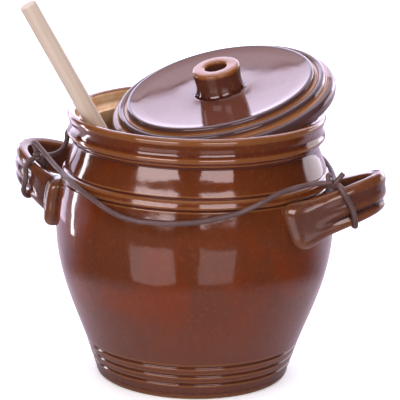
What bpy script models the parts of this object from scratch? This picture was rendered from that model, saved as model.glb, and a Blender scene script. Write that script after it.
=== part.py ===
"""Glazed stoneware pickle crock with two strap handles, a loose stepped lid, a wooden
pickle fork and a leather carrying cord. Metres, +Z up, base on z = 0, handles on the X axis,
front towards -Y. The lid is set ajar on the rim and the fork leans out of the mouth."""

import math

import bmesh
import bpy
from mathutils import Matrix, Vector

# Gap between pieces that touch, and sides of the round pieces
SEAT_GAP = 0.0003
TURN_SIDES = 48

# Crock body, from the foot up
FOOT_RADIUS = 0.0535
FOOT_EDGE_RADIUS = 0.0570
FOOT_EDGE_HEIGHT = 0.0040
BAND_TOP_RADIUS = 0.0630
BAND_TOP_HEIGHT = 0.0216
BAND_PITCH = 0.0056
BAND_COUNT = 3
GROOVE_DEPTH = 0.0011
GROOVE_WIDTH = 0.0018
BELLY_RADIUS = 0.0813
BELLY_HEIGHT = 0.0920
SHOULDER_RADIUS = 0.0775
SHOULDER_HEIGHT = 0.1215
SHOULDER_RING_HEIGHT = 0.0056
SHOULDER_RING_PROUD = 0.0011
NECK_RADIUS = 0.0712
NECK_DROP = 0.0178
COLLAR_RADIUS = 0.0750
COLLAR_HOLLOW = 0.0013
BEAD_DROP = 0.0128
BEAD_HEIGHT = 0.0034
RIM_HEIGHT = 0.1580
RIM_WALL = 0.0050
BODY_WALL = 0.0055
FLOOR_THICKNESS = 0.0070
FLOOR_FILLET = 0.0120
MOUTH_DEPTH = 0.0077
LEDGE_WIDTH = 0.0053
LEDGE_FALL = 0.0015
LEDGE_EDGE = 0.0012
THROAT_DROP = 0.0145

# Curves of the crock's side and inside: how far they bend, and shares of the height they span
THROAT_FLARE = 0.0004
INNER_SHOULDER_IN = 0.0008
INNER_SHOULDER_OUT = 0.0030
INNER_FOOT_IN = 0.0022
FLOOR_BEND_IN = 0.0020
FOOT_ROUND_OUT = 0.6
FOOT_ROUND_UP = 0.4
LOWER_BEND_OUT = 0.0080
LOWER_BEND_START = 0.31
BELLY_BEND = 0.40
UPPER_BEND_START = 0.42
UPPER_BEND_END = 0.28
UPPER_BEND_OUT = 0.0011
RING_LOW_OUT = 0.0008
RING_HIGH_IN = 0.0010
RING_LOW_ROUND = 0.0006
RING_HIGH_ROUND = 0.0008
RING_ROUND_SHARE = 0.25
NECK_BEND_IN = 0.0010
NECK_BEND_START = 0.30
NECK_BEND_OUT = 0.0012
NECK_BEND_END = 0.40
STEP_WIDTH = 0.0017
STEP_RISE = 0.0014
BEAD_UNDERCUT = 0.0014
BEAD_FLAT_SHARE = 0.4
HOLLOW_START_SHARE = 1.8
HOLLOW_END_DROP = 0.0065

# Strap handles: sizes of both, then the width and rise of each
HANDLE_REACH = 0.1150
HANDLE_HALF_SPREAD = 0.0330
HANDLE_ROOT_IN = 0.0103
HANDLE_ROOT_RUN = 0.0120
HANDLE_APEX_RUN = 0.0190
HANDLE_ROOT_HEIGHT = 0.1035
HANDLE_TILT = math.radians(13.0)
STRAP_THICKNESS = 0.0080
FLUTE_DEPTH = 0.0013
ROOT_FLARE_WIDTH = 1.36
ROOT_FLARE_THICKNESS = 1.20
ROOT_FLARE_LENGTH = 0.13
STRAP_CROWN = 0.38
STRAP_BACK_HALF = 0.38
HANDLE_STATIONS = 32
RIGHT_STRAP_WIDTH = 0.0238
RIGHT_HANDLE_RISE = 0.0190
LEFT_STRAP_WIDTH = 0.0215
LEFT_HANDLE_RISE = 0.0140

# Lid, heights measured from its widest ring
LID_CLEARANCE = 0.0033
SKIRT_DROP = 0.0048
OUTER_RING_INSET = 0.0051
OUTER_RING_HEIGHT = 0.0054
INNER_RING_INSET = 0.0110
INNER_RING_HEIGHT = 0.0084
RING_CREST = 0.0021
PANEL_HEIGHT = 0.0076
PANEL_WALL = 0.0056
BEARING_WIDTH = 0.0070
LID_TILT = math.radians(17.1)
LID_LOW_SIDE = math.radians(245.3)
LID_OFFSET = (0.0086, 0.0186)

# Finer shape of the lid's panel, rings and skirt
BEARING_SLOPE = 0.0016
KNOB_MARGIN = 0.0010
PANEL_RISE_WIDTH = 0.0100
PANEL_RISE_START = 0.0040
PANEL_MIDDLE_DISH = 0.0002
PANEL_DISH = 0.0007
PANEL_RISE_DISH = 0.0008
PANEL_UNDER_DISH = 0.0004
RING_BACK = 0.0034
OUTER_RING_BACK = 0.0036
RING_TOP_WIDTH = 0.0022
RING_FRONT = 0.0008
INNER_STEP_DROP = 0.0018
OUTER_STEP_DROP = 0.0016
STEP_FOOT_WIDTH = 0.0007
STEP_TOE_WIDTH = 0.0019
STEP_TOE_DROP = 0.0002
UNDER_RING_IN = 0.0022
UNDER_RING_DROP = 0.0008
SKIRT_TOP = 0.0026
SKIRT_TOP_IN = 0.0014
SKIRT_ROUND_IN = 0.0003
SKIRT_ROUND_TOP = 0.0010
SKIRT_WIDEST = 0.0004
SKIRT_ROUND_FOOT = 0.0012
SKIRT_FOOT_IN = 0.0013

# Knob
KNOB_RADIUS = 0.0140
KNOB_HEIGHT = 0.0150
KNOB_EDGE = 0.0016
KNOB_FOOT_FLARE = 0.0018
KNOB_FOOT_HEIGHT = 0.0032
KNOB_WAIST_IN = 0.0006
KNOB_BEND_IN = 0.0005
KNOB_BEND_LOW = 0.0004
KNOB_BEND_HIGH = 0.0010
KNOB_LIP_SHARE = 0.6
KNOB_BORE_ROUND = 0.0012
KNOB_BORE_RADIUS = 0.0068
KNOB_BORE_DEPTH = 0.0120

# Pickle fork
FORK_RADIUS = 0.0050
FORK_LENGTH = 0.2485
FORK_SLOT_WIDTH = 0.0030
FORK_SLOT_LENGTH = 0.0600
FORK_POINT_LENGTH = 0.0120
FORK_TIP_SHARE = 0.45
FORK_END_SHARE = 0.12
FORK_LEAN = math.radians(29.65)
FORK_SIDE = math.radians(224.0)

# Leather cord: it is hitched round both straps and lies on the body between them
CORD_RADIUS = 0.0015
CORD_LIFT = 0.0006
CORD_STEP = 0.0065
WRAP_STEP = 0.0032
WRAP_SLANT = math.radians(20.0)
WRAP_SIDE = ((1.06, 0.72), (1.0, 0.35), (1.0, 0.0), (1.0, -0.72))
WRAP_CORNER_SHARE = 0.68
WRAP_CORNER_RISE = 0.0008
KNOT_RADIUS = 0.0030
KNOT_INWARD = 0.0010
RIGHT_WRAP_SHARE = 0.294
LEFT_WRAP_SHARE = 0.770
TAIL_LENGTH = 0.0060
TAIL_DIRECTION = (0.48, 0.44, 0.76)

# Where the front strand lies on the body, left to right: degrees round the axis and height
FRONT_REST = (
    (-131.0, 0.1240),
    (-121.0, 0.1220),
    (-113.5, 0.1193),
    (-103.0, 0.1145),
    (-93.0, 0.1118),
    (-81.0, 0.1115),
    (-73.0, 0.1121),
    (-65.0, 0.1133),
    (-57.0, 0.1154),
    (-49.0, 0.1178),
    (-43.5, 0.1206),
)
# Its free ends, from the left knot up and over to the body, and from the body to the right knot
FRONT_LEFT_END = (
    (-0.0900, -0.0254, 0.1312),
    (-0.0898, -0.0257, 0.1338),
    (-0.0885, -0.0268, 0.1349),
    (-0.0868, -0.0283, 0.1340),
    (-0.0845, -0.0302, 0.1320),
    (-0.0808, -0.0331, 0.1296),
    (-0.0758, -0.0377, 0.1276),
    (-0.0685, -0.0446, 0.1259),
    (-0.0611, -0.0515, 0.1248),
)
FRONT_RIGHT_END = (
    (0.0632, -0.0518, 0.1230),
    (0.0692, -0.0456, 0.1268),
    (0.0764, -0.0378, 0.1294),
    (0.0842, -0.0301, 0.1308),
)
# The same for the back strand, which goes up to the neck, round behind it and down to the right
BACK_LEFT_END = (
    (-0.0841, -0.0252, 0.1266),
    (-0.0805, -0.0205, 0.1272),
    (-0.0785, -0.0157, 0.1295),
    (-0.0775, -0.0127, 0.1338),
    (-0.0784, -0.0093, 0.1385),
    (-0.0779, 0.0010, 0.1410),
    (-0.0747, 0.0150, 0.1414),
)
BACK_REST = (
    (157.0, 0.1400),
    (140.0, 0.1390),
    (118.0, 0.1385),
    (95.0, 0.1370),
    (75.0, 0.1340),
    (58.0, 0.1300),
    (42.0, 0.1263),
    (27.0, 0.1243),
    (12.0, 0.1243),
)
BACK_RIGHT_END = (
    (0.0810, 0.0020, 0.1262),
    (0.0846, -0.0090, 0.1312),
    (0.0872, -0.0172, 0.1352),
)


def clear_scene():
    for item in list(bpy.data.objects):
        bpy.data.objects.remove(item, do_unlink=True)


def material(name, colour, roughness, metallic=0.0):
    made = bpy.data.materials.new(name)
    made.use_nodes = True
    shader = made.node_tree.nodes["Principled BSDF"]
    shader.inputs["Base Color"].default_value = (*colour, 1.0)
    shader.inputs["Roughness"].default_value = roughness
    shader.inputs["Metallic"].default_value = metallic
    return made


def bezier(start, first, second, end, steps):
    """Points along a cubic curve, without its start."""
    points = []
    for i in range(1, steps + 1):
        t = i / steps
        weights = ((1 - t) ** 3, 3 * t * (1 - t) ** 2, 3 * t * t * (1 - t), t**3)
        corners = (start, first, second, end)
        points.append(tuple(sum(w * c[k] for w, c in zip(weights, corners)) for k in (0, 1)))
    return points


def arc(centre, radius, start, end, steps):
    """Points on a round edge, angles in degrees from the outward radial direction."""
    angles = [math.radians(start + (end - start) * i / steps) for i in range(steps + 1)]
    return [(centre[0] + radius * math.cos(a), centre[1] + radius * math.sin(a)) for a in angles]


def mesh_object(name, shape, finish, sharp=30.0):
    """A named object from a bmesh, faces outward, round parts shaded smooth."""
    bmesh.ops.recalc_face_normals(shape, faces=shape.faces)
    data = bpy.data.meshes.new(name)
    shape.to_mesh(data)
    shape.free()
    data.shade_smooth()
    data.set_sharp_from_angle(angle=math.radians(sharp))
    data.materials.append(finish)
    made = bpy.data.objects.new(name, data)
    bpy.context.scene.collection.objects.link(made)
    return made


def turned(outline, sides):
    """A closed body turned about Z from an open outline whose two ends are capped flat."""
    shape = bmesh.new()
    verts = [shape.verts.new((radius, 0.0, height)) for radius, height in outline]
    edges = [shape.edges.new(pair) for pair in zip(verts, verts[1:])]
    bmesh.ops.spin(
        shape,
        geom=verts + edges,
        axis=(0, 0, 1),
        cent=(0, 0, 0),
        angle=math.tau,
        steps=sides,
        use_merge=True,
    )
    bmesh.ops.remove_doubles(shape, verts=shape.verts, dist=1e-6)
    open_edges = [edge for edge in shape.edges if edge.is_boundary]
    bmesh.ops.edgeloop_fill(shape, edges=open_edges)
    return shape


def band_outline():
    """The turned grooves at the foot, from the foot edge up to the body."""
    rise = BAND_TOP_HEIGHT - FOOT_EDGE_HEIGHT
    slope = (BAND_TOP_RADIUS - FOOT_EDGE_RADIUS) / rise
    points = [(FOOT_RADIUS, 0.0)]
    points += bezier(
        (FOOT_RADIUS, 0.0),
        (FOOT_RADIUS + FOOT_ROUND_OUT * (FOOT_EDGE_RADIUS - FOOT_RADIUS), 0.0),
        (FOOT_EDGE_RADIUS, FOOT_ROUND_UP * FOOT_EDGE_HEIGHT),
        (FOOT_EDGE_RADIUS, FOOT_EDGE_HEIGHT),
        3,
    )
    for i in range(BAND_COUNT):
        middle = BAND_TOP_HEIGHT - (BAND_COUNT - 1 - i) * BAND_PITCH
        radius = BAND_TOP_RADIUS - slope * (BAND_TOP_HEIGHT - middle)
        half = GROOVE_WIDTH / 2
        points.append((radius - slope * half, middle - half))
        points.append((radius - GROOVE_DEPTH, middle))
        points.append((radius + slope * half, middle + half))
    return points


def ring_outline():
    """The thin raised ring on the shoulder, between two fine grooves."""
    half = SHOULDER_RING_HEIGHT / 2
    low = (SHOULDER_RADIUS + RING_LOW_OUT, SHOULDER_HEIGHT - half)
    high = (SHOULDER_RADIUS - RING_HIGH_IN, SHOULDER_HEIGHT + half)
    crest = (SHOULDER_RADIUS + SHOULDER_RING_PROUD, SHOULDER_HEIGHT)
    return [
        low,
        (low[0] + RING_LOW_ROUND, low[1] + RING_ROUND_SHARE * half),
        crest,
        (high[0] + RING_HIGH_ROUND, high[1] - RING_ROUND_SHARE * half),
        high,
    ]


def outer_outline():
    """The outside of the crock from the foot to the top of the collar."""
    points = band_outline()
    start = points[-1]
    ring = ring_outline()
    lower = BELLY_HEIGHT - start[1]
    points += bezier(
        start,
        (start[0] + LOWER_BEND_OUT, start[1] + LOWER_BEND_START * lower),
        (BELLY_RADIUS, BELLY_HEIGHT - BELLY_BEND * lower),
        (BELLY_RADIUS, BELLY_HEIGHT),
        8,
    )
    upper = ring[0][1] - BELLY_HEIGHT
    points += bezier(
        (BELLY_RADIUS, BELLY_HEIGHT),
        (BELLY_RADIUS, BELLY_HEIGHT + UPPER_BEND_START * upper),
        (ring[0][0] + UPPER_BEND_OUT, ring[0][1] - UPPER_BEND_END * upper),
        ring[0],
        4,
    )
    points += ring[1:]
    neck = (NECK_RADIUS, RIM_HEIGHT - NECK_DROP)
    fall = neck[1] - ring[-1][1]
    points += bezier(
        ring[-1],
        (ring[-1][0] - NECK_BEND_IN, ring[-1][1] + NECK_BEND_START * fall),
        (neck[0] + NECK_BEND_OUT, neck[1] - NECK_BEND_END * fall),
        neck,
        4,
    )
    bead = (COLLAR_RADIUS, RIM_HEIGHT - BEAD_DROP)
    half = BEAD_HEIGHT / 2
    points.append((COLLAR_RADIUS - STEP_WIDTH, bead[1] - half - STEP_RISE))
    points.append((COLLAR_RADIUS - BEAD_UNDERCUT, bead[1] - half))
    points.append((bead[0], bead[1] - BEAD_FLAT_SHARE * half))
    points.append((bead[0], bead[1] + BEAD_FLAT_SHARE * half))
    points.append((COLLAR_RADIUS - COLLAR_HOLLOW, bead[1] + HOLLOW_START_SHARE * half))
    points.append((COLLAR_RADIUS - COLLAR_HOLLOW, RIM_HEIGHT - HOLLOW_END_DROP))
    return points


def ledge_edge_centre():
    """Centre of the round inner edge of the ledge in the mouth."""
    radius = COLLAR_RADIUS - RIM_WALL - LEDGE_WIDTH + LEDGE_EDGE
    return radius, RIM_HEIGHT - MOUTH_DEPTH - LEDGE_FALL - LEDGE_EDGE


def inner_outline():
    """The inside of the crock from the mouth down to the floor, with the ledge for the lid."""
    mouth = COLLAR_RADIUS - RIM_WALL
    edge = ledge_edge_centre()
    points = [(mouth, RIM_HEIGHT - MOUTH_DEPTH)]
    points += arc(edge, LEDGE_EDGE, 75, 180, 3)
    throat = (edge[0] - LEDGE_EDGE + THROAT_FLARE, RIM_HEIGHT - THROAT_DROP)
    points.append(throat)
    shoulder = (SHOULDER_RADIUS - BODY_WALL, SHOULDER_HEIGHT)
    points.append(((throat[0] + shoulder[0]) / 2 - INNER_SHOULDER_IN, (throat[1] + shoulder[1]) / 2))
    points.append(shoulder)
    belly = (BELLY_RADIUS - BODY_WALL, BELLY_HEIGHT)
    rise = belly[1] - shoulder[1]
    points += bezier(
        shoulder,
        (shoulder[0] + INNER_SHOULDER_OUT, shoulder[1] + NECK_BEND_START * rise),
        (belly[0], belly[1] - BELLY_BEND * rise),
        belly,
        3,
    )
    foot = (BAND_TOP_RADIUS - BODY_WALL - INNER_FOOT_IN, FLOOR_THICKNESS + FLOOR_FILLET)
    drop = belly[1] - foot[1]
    points += bezier(
        belly,
        (belly[0], belly[1] - BELLY_BEND * drop),
        (foot[0] + LOWER_BEND_OUT, foot[1] + LOWER_BEND_START * drop),
        foot,
        6,
    )
    points += bezier(
        foot,
        (foot[0] - FLOOR_BEND_IN, foot[1] - 0.6 * FLOOR_FILLET),
        (foot[0] - 0.5 * FLOOR_FILLET, FLOOR_THICKNESS),
        (foot[0] - FLOOR_FILLET, FLOOR_THICKNESS),
        3,
    )
    return points


def make_crock(finish):
    lip = (COLLAR_RADIUS - RIM_WALL / 2, RIM_HEIGHT - RIM_WALL / 2)
    outline = outer_outline() + arc(lip, RIM_WALL / 2, 0, 180, 6) + inner_outline()
    return mesh_object("crock_body", turned(outline, TURN_SIDES), finish, sharp=40.0)


def make_handle_cutter():
    """The crock's outer form, one seat gap larger, that the handle roots are cut to."""
    outline = [(radius + SEAT_GAP, height) for radius, height in outer_outline()]
    cutter = mesh_object("handle_cutter", turned(outline, TURN_SIDES), material("cutter", (1, 1, 1), 1))
    cutter.hide_render = True
    cutter.display_type = "WIRE"
    return cutter


def strap_section(width, thickness):
    """Cross-section of a pulled strap as (outward, up) points: three ridges outside, flat inside."""
    points = []
    count = 12
    for i in range(count + 1):
        across = -0.5 + i / count
        edge = 1.0 - abs(2 * across) ** 4
        flute = FLUTE_DEPTH * 0.5 * (1 - math.cos(3 * math.tau * (across + 0.5)))
        outward = thickness * (0.5 - STRAP_CROWN * (1 - edge)) - (FLUTE_DEPTH - flute) * edge
        points.append((outward, across * width))
    for across in (STRAP_BACK_HALF, 0.0, -STRAP_BACK_HALF):
        points.append((-0.5 * thickness, across * width))
    return points


def handle_path(rise):
    """Middle line of the right handle, front root to back root, that climbs towards its bow."""
    reach = HANDLE_REACH - STRAP_THICKNESS / 2
    root = (BELLY_RADIUS - HANDLE_ROOT_IN, -HANDLE_HALF_SPREAD)
    first = (root[0] + HANDLE_ROOT_RUN, root[1])
    second = (reach, -HANDLE_APEX_RUN)
    half = [root] + bezier(root, first, second, (reach, 0.0), HANDLE_STATIONS // 2)
    whole = half + [(x, -y) for x, y in reversed(half[:-1])]
    slope = rise / (reach - root[0])
    return [Vector((x, y, HANDLE_ROOT_HEIGHT + slope * (x - root[0]))) for x, y in whole]


def handle_frames(rise):
    """Each station's point, outward and upward directions, and its share of the way along."""
    points = handle_path(rise)
    lean = Vector((-math.sin(HANDLE_TILT), 0.0, math.cos(HANDLE_TILT)))
    frames = []
    for i, point in enumerate(points):
        tangent = (points[min(i + 1, len(points) - 1)] - points[max(i - 1, 0)]).normalized()
        up = (lean - tangent * tangent.dot(lean)).normalized()
        frames.append((point, tangent.cross(up), up, i / (len(points) - 1)))
    return frames


def lofted(rings):
    """A closed body through matching rings of points, flat at both ends."""
    shape = bmesh.new()
    loops = [[shape.verts.new(place) for place in ring] for ring in rings]
    for lower, upper in zip(loops, loops[1:]):
        for i in range(len(lower)):
            after = (i + 1) % len(lower)
            shape.faces.new((lower[i], lower[after], upper[after], upper[i]))
    shape.faces.new(loops[0])
    shape.faces.new(loops[-1])
    return shape


def make_handle(name, strap_width, rise, turn, finish, cutter):
    """A fluted strap drawn along its bow, flared at both roots and cut to the crock's side."""
    rings = []
    for point, outward, up, share in handle_frames(rise):
        near_root = max(0.0, 1 - min(share, 1 - share) / ROOT_FLARE_LENGTH)
        flare = near_root * near_root * (3 - 2 * near_root)
        width = strap_width * (1 + (ROOT_FLARE_WIDTH - 1) * flare)
        thickness = STRAP_THICKNESS * (1 + (ROOT_FLARE_THICKNESS - 1) * flare)
        section = strap_section(width, thickness)
        rings.append([point + outward * a + up * b for a, b in section])
    made = mesh_object(name, lofted(rings), finish, sharp=50.0)
    made.data.transform(Matrix.Rotation(turn, 4, "Z"))
    cut = made.modifiers.new("root_fit", "BOOLEAN")
    cut.operation = "DIFFERENCE"
    cut.solver = "EXACT"
    cut.object = cutter
    return made


def lid_radius():
    return COLLAR_RADIUS - RIM_WALL - LID_CLEARANCE


def lid_outline():
    """Half section of the lid from under the knob over the two rings to the hollow underside."""
    edge = lid_radius()
    outer = edge - OUTER_RING_INSET
    inner = edge - INNER_RING_INSET
    knob_seat = KNOB_RADIUS + KNOB_FOOT_FLARE + KNOB_MARGIN
    panel_edge = inner - PANEL_RISE_WIDTH
    points = [(knob_seat, PANEL_HEIGHT)]
    points.append(((knob_seat + panel_edge) / 2, PANEL_HEIGHT - PANEL_MIDDLE_DISH))
    points += bezier(
        (panel_edge, PANEL_HEIGHT - PANEL_DISH),
        (panel_edge + PANEL_RISE_START, PANEL_HEIGHT - PANEL_RISE_DISH),
        (inner - RING_BACK - RING_TOP_WIDTH, INNER_RING_HEIGHT + 0.3 * RING_CREST),
        (inner - RING_BACK, INNER_RING_HEIGHT + 0.85 * RING_CREST),
        4,
    )
    for ring, height, depth in (
        (inner, INNER_RING_HEIGHT, INNER_STEP_DROP),
        (outer, OUTER_RING_HEIGHT, OUTER_STEP_DROP),
    ):
        points.append((ring - RING_TOP_WIDTH, height + RING_CREST))
        points.append((ring - RING_FRONT, height + 0.75 * RING_CREST))
        points.append((ring, height))
        points.append((ring + STEP_FOOT_WIDTH, height - depth))
        points.append((ring + STEP_TOE_WIDTH, height - depth - STEP_TOE_DROP))
        if ring == inner:
            points.append((outer - OUTER_RING_BACK, OUTER_RING_HEIGHT + 0.8 * RING_CREST))
    points.append((edge - SKIRT_TOP_IN, SKIRT_TOP))
    points.append((edge - SKIRT_ROUND_IN, SKIRT_ROUND_TOP))
    points.append((edge, -SKIRT_WIDEST))
    points.append((edge - SKIRT_ROUND_IN, SKIRT_ROUND_FOOT - SKIRT_DROP))
    points.append((edge - SKIRT_FOOT_IN, -SKIRT_DROP))
    points.append((edge - BEARING_WIDTH, -SKIRT_DROP))
    under = PANEL_HEIGHT - PANEL_WALL
    points.append((edge - BEARING_WIDTH - BEARING_SLOPE, -0.4 * SKIRT_DROP))
    points.append((inner - UNDER_RING_IN, under - UNDER_RING_DROP))
    points.append((panel_edge, under - PANEL_UNDER_DISH))
    points.append((knob_seat, under))
    return points


def crock_top(radius):
    """Height that a piece resting in the mouth has to clear at a radius, or None."""
    mouth = COLLAR_RADIUS - RIM_WALL
    lip_radius = RIM_WALL / 2 + SEAT_GAP
    from_lip = radius - (mouth + RIM_WALL / 2)
    if abs(from_lip) < lip_radius:
        return RIM_HEIGHT - RIM_WALL / 2 + math.sqrt(lip_radius**2 - from_lip**2)
    if mouth - LEDGE_WIDTH < radius < mouth:
        along = (mouth - radius) / LEDGE_WIDTH
        return RIM_HEIGHT - MOUTH_DEPTH - LEDGE_FALL * along + SEAT_GAP
    return None


def lid_place():
    """The ajar lid's frame: tilted, then lowered until its skirt touches the rim."""
    to_low = Vector((math.cos(LID_LOW_SIDE), math.sin(LID_LOW_SIDE), 0.0))
    turn = Matrix.Rotation(LID_TILT, 4, Vector((-to_low.y, to_low.x, 0.0)))
    offset = Vector((*LID_OFFSET, 0.0))
    height = 0.0
    for radius, level in lid_outline():
        if level > 0.0:
            continue
        for step in range(720):
            angle = math.radians(step / 2)
            place = offset + turn @ Vector((radius * math.cos(angle), radius * math.sin(angle), level))
            under = crock_top(math.hypot(place.x, place.y))
            if under is not None:
                height = max(height, under - place.z)
    return Matrix.Translation(offset + Vector((0.0, 0.0, height))) @ turn


def make_lid(finish):
    lid = mesh_object("lid", turned(lid_outline(), TURN_SIDES), finish, sharp=50.0)
    lid.matrix_world = lid_place()
    return lid


def make_knob(finish, lid):
    """A hollow thrown knob on the middle of the lid, flared at its foot."""
    top = KNOB_HEIGHT - KNOB_EDGE
    outline = [(KNOB_RADIUS + KNOB_FOOT_FLARE, 0.0)]
    outline += bezier(
        outline[0],
        (KNOB_RADIUS, KNOB_BEND_LOW),
        (KNOB_RADIUS - KNOB_BEND_IN, KNOB_BEND_HIGH),
        (KNOB_RADIUS - KNOB_WAIST_IN, KNOB_FOOT_HEIGHT),
        3,
    )
    outline += arc((KNOB_RADIUS - KNOB_EDGE, top), KNOB_EDGE, 0, 90, 3)
    lip = KNOB_EDGE * KNOB_LIP_SHARE
    outline += arc((KNOB_BORE_RADIUS + lip, KNOB_HEIGHT - lip), lip, 90, 180, 3)
    floor = KNOB_HEIGHT - KNOB_BORE_DEPTH
    outline.append((KNOB_BORE_RADIUS, floor + KNOB_BORE_ROUND))
    outline.append((KNOB_BORE_RADIUS - KNOB_BORE_ROUND, floor))
    knob = mesh_object("lid_knob", turned(outline, TURN_SIDES // 2), finish, sharp=50.0)
    knob.parent = lid
    knob.location = (0.0, 0.0, PANEL_HEIGHT + SEAT_GAP)
    return knob


def make_slot_cutter():
    """A flat slot with a round root, longer than the fork is thick."""
    half = FORK_SLOT_WIDTH / 2
    root = arc((0.0, FORK_SLOT_LENGTH - half), half, 0, 180, 6)
    outline = [(half, -half)] + root + [(-half, -half)]
    shape = bmesh.new()
    face = shape.faces.new([shape.verts.new((x, -2 * FORK_RADIUS, z)) for x, z in outline])
    grown = bmesh.ops.extrude_face_region(shape, geom=[face])["geom"]
    moved = [item for item in grown if isinstance(item, bmesh.types.BMVert)]
    bmesh.ops.translate(shape, verts=moved, vec=(0.0, 4 * FORK_RADIUS, 0.0))
    cutter = mesh_object("slot_cutter", shape, material("slot", (1, 1, 1), 1))
    cutter.hide_render = True
    cutter.display_type = "WIRE"
    return cutter


def make_fork(finish):
    """A round dowel sawn into two pointed tines, leaning in the mouth with its tip on the floor."""
    tip = FORK_RADIUS * FORK_TIP_SHARE
    chamfer = FORK_RADIUS * FORK_END_SHARE
    outline = [(tip, 0.0), (FORK_RADIUS * 0.8, 0.45 * FORK_POINT_LENGTH), (FORK_RADIUS, FORK_POINT_LENGTH)]
    outline += [(FORK_RADIUS, FORK_LENGTH - chamfer), (FORK_RADIUS - chamfer, FORK_LENGTH)]
    fork = mesh_object("pickle_fork", turned(outline, TURN_SIDES // 2), finish, sharp=40.0)
    lean = Vector((math.sin(FORK_LEAN), 0.0, math.cos(FORK_LEAN)))
    across = Vector((-math.cos(FORK_LEAN), 0.0, math.sin(FORK_LEAN)))
    lip = Vector((COLLAR_RADIUS - RIM_WALL / 2, 0.0, RIM_HEIGHT - RIM_WALL / 2))
    ledge = Vector((ledge_edge_centre()[0], 0.0, ledge_edge_centre()[1]))
    rest = max(across.dot(lip) + RIM_WALL / 2, across.dot(ledge) + LEDGE_EDGE)
    middle = across * (rest + SEAT_GAP + FORK_RADIUS)
    low = FLOOR_THICKNESS + SEAT_GAP + tip * math.sin(FORK_LEAN)
    foot = middle - lean * ((middle.z - low) / lean.z)
    side = Matrix.Rotation(FORK_SIDE, 4, "Z")
    fork.matrix_world = side @ Matrix.Translation(foot) @ Matrix.Rotation(FORK_LEAN, 4, "Y")
    cutter = make_slot_cutter()
    cutter.matrix_world = fork.matrix_world @ Matrix.Rotation(math.pi / 4, 4, "Z")
    slot = fork.modifiers.new("tines", "BOOLEAN")
    slot.operation = "DIFFERENCE"
    slot.solver = "EXACT"
    slot.object = cutter
    return fork


def outline_radius(height):
    """Largest outside radius of the crock within the cord's own thickness of a height."""
    outline = outer_outline()
    widest = 0.0
    for level in (height - CORD_RADIUS, height, height + CORD_RADIUS):
        for (low_r, low_z), (high_r, high_z) in zip(outline, outline[1:]):
            if low_z <= level <= high_z and high_z > low_z:
                share = (level - low_z) / (high_z - low_z)
                widest = max(widest, low_r + share * (high_r - low_r))
    return widest


def resting(places):
    """Points of a strand's middle line where it lies on the crock's side."""
    points = []
    for degrees, height in places:
        radius = outline_radius(height) + CORD_RADIUS + CORD_LIFT
        angle = math.radians(degrees)
        points.append(Vector((radius * math.cos(angle), radius * math.sin(angle), height)))
    return points


def smooth_line(route, step):
    """Points read from a smooth curve through a route, at most a step apart."""
    ends = [2 * route[0] - route[1]] + list(route) + [2 * route[-1] - route[-2]]
    points = [route[0]]
    for before, start, end, after in zip(ends, ends[1:], ends[2:], ends[3:]):
        count = max(1, math.ceil((end - start).length / step))
        for i in range(1, count + 1):
            t = i / count
            linear = end - before
            square = 2 * before - 5 * start + 4 * end - after
            cube = 3 * start - before - 3 * end + after
            points.append(start + 0.5 * t * (linear + t * (square + t * cube)))
    return points


def cord_tube(name, route, step, finish):
    """A round cord with flat cut ends along a route."""
    curve = bpy.data.curves.new(name, "CURVE")
    curve.dimensions = "3D"
    curve.bevel_depth = CORD_RADIUS
    curve.bevel_resolution = 2
    curve.use_fill_caps = True
    curve.materials.append(finish)
    line = curve.splines.new("POLY")
    points = smooth_line(route, step)
    line.points.add(len(points) - 1)
    for place, point in zip(points, line.points):
        point.co = (*place, 1.0)
    made = bpy.data.objects.new(name, curve)
    bpy.context.scene.collection.objects.link(made)
    return made


def strap_place(rise, turn, share):
    """Point and outward and upward directions of a strap's middle line at a share of its length."""
    frames = handle_frames(rise)
    station = share * (len(frames) - 1)
    index = int(station)
    blend = station - index
    rotation = Matrix.Rotation(turn, 3, "Z")
    mixed = [a.lerp(b, blend) for a, b in zip(frames[index][:3], frames[index + 1][:3])]
    return rotation @ mixed[0], rotation @ mixed[1], rotation @ mixed[2]


def knot_place(strap_width, place):
    """Middle of a knot that sits on a strap's upper edge."""
    point, outward, up = place
    return point + up * (strap_width / 2 + SEAT_GAP + KNOT_RADIUS) - outward * KNOT_INWARD


def make_knot(name, centre, finish):
    shape = bmesh.new()
    bmesh.ops.create_uvsphere(shape, u_segments=16, v_segments=10, radius=KNOT_RADIUS)
    knot = mesh_object(name, shape, finish, sharp=60.0)
    knot.location = centre
    return knot


def make_wrap(name, strap_width, place, finish):
    """One turn of cord round a strap, out of one side of its knot and back into the other."""
    point, outward, up = place
    knot = knot_place(strap_width, place)
    half = strap_width / 2
    side = STRAP_THICKNESS / 2 + CORD_RADIUS + CORD_LIFT
    leave = outward * math.cos(WRAP_SLANT) - up * math.sin(WRAP_SLANT)
    enter = -outward * math.cos(WRAP_SLANT) - up * math.sin(WRAP_SLANT)
    face = KNOT_RADIUS + SEAT_GAP
    run = face + 2 * CORD_RADIUS
    route = [knot + leave * face, knot + leave * run]
    low = -half - CORD_RADIUS - CORD_LIFT
    down = [(share * side, level * half) for share, level in WRAP_SIDE]
    corner = (WRAP_CORNER_SHARE * side, low + WRAP_CORNER_RISE)
    under = [corner, (0.0, low), (-corner[0], corner[1])]
    back_up = [(-a, b) for a, b in reversed(down)]
    for a, b in down + under + back_up:
        route.append(point + outward * a + up * b)
    route += [knot + enter * run, knot + enter * face]
    return cord_tube(name, route, WRAP_STEP, finish)


def between_knots(start, free_start, resting_part, free_end, end):
    """A strand's whole route, from the face of one knot to the face of the next."""
    middle = [Vector(place) for place in free_start] + resting_part
    middle += [Vector(place) for place in free_end]
    face = KNOT_RADIUS + SEAT_GAP
    first = start + (middle[0] - start).normalized() * face
    last = end + (middle[-1] - end).normalized() * face
    return [first] + middle + [last]


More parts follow.
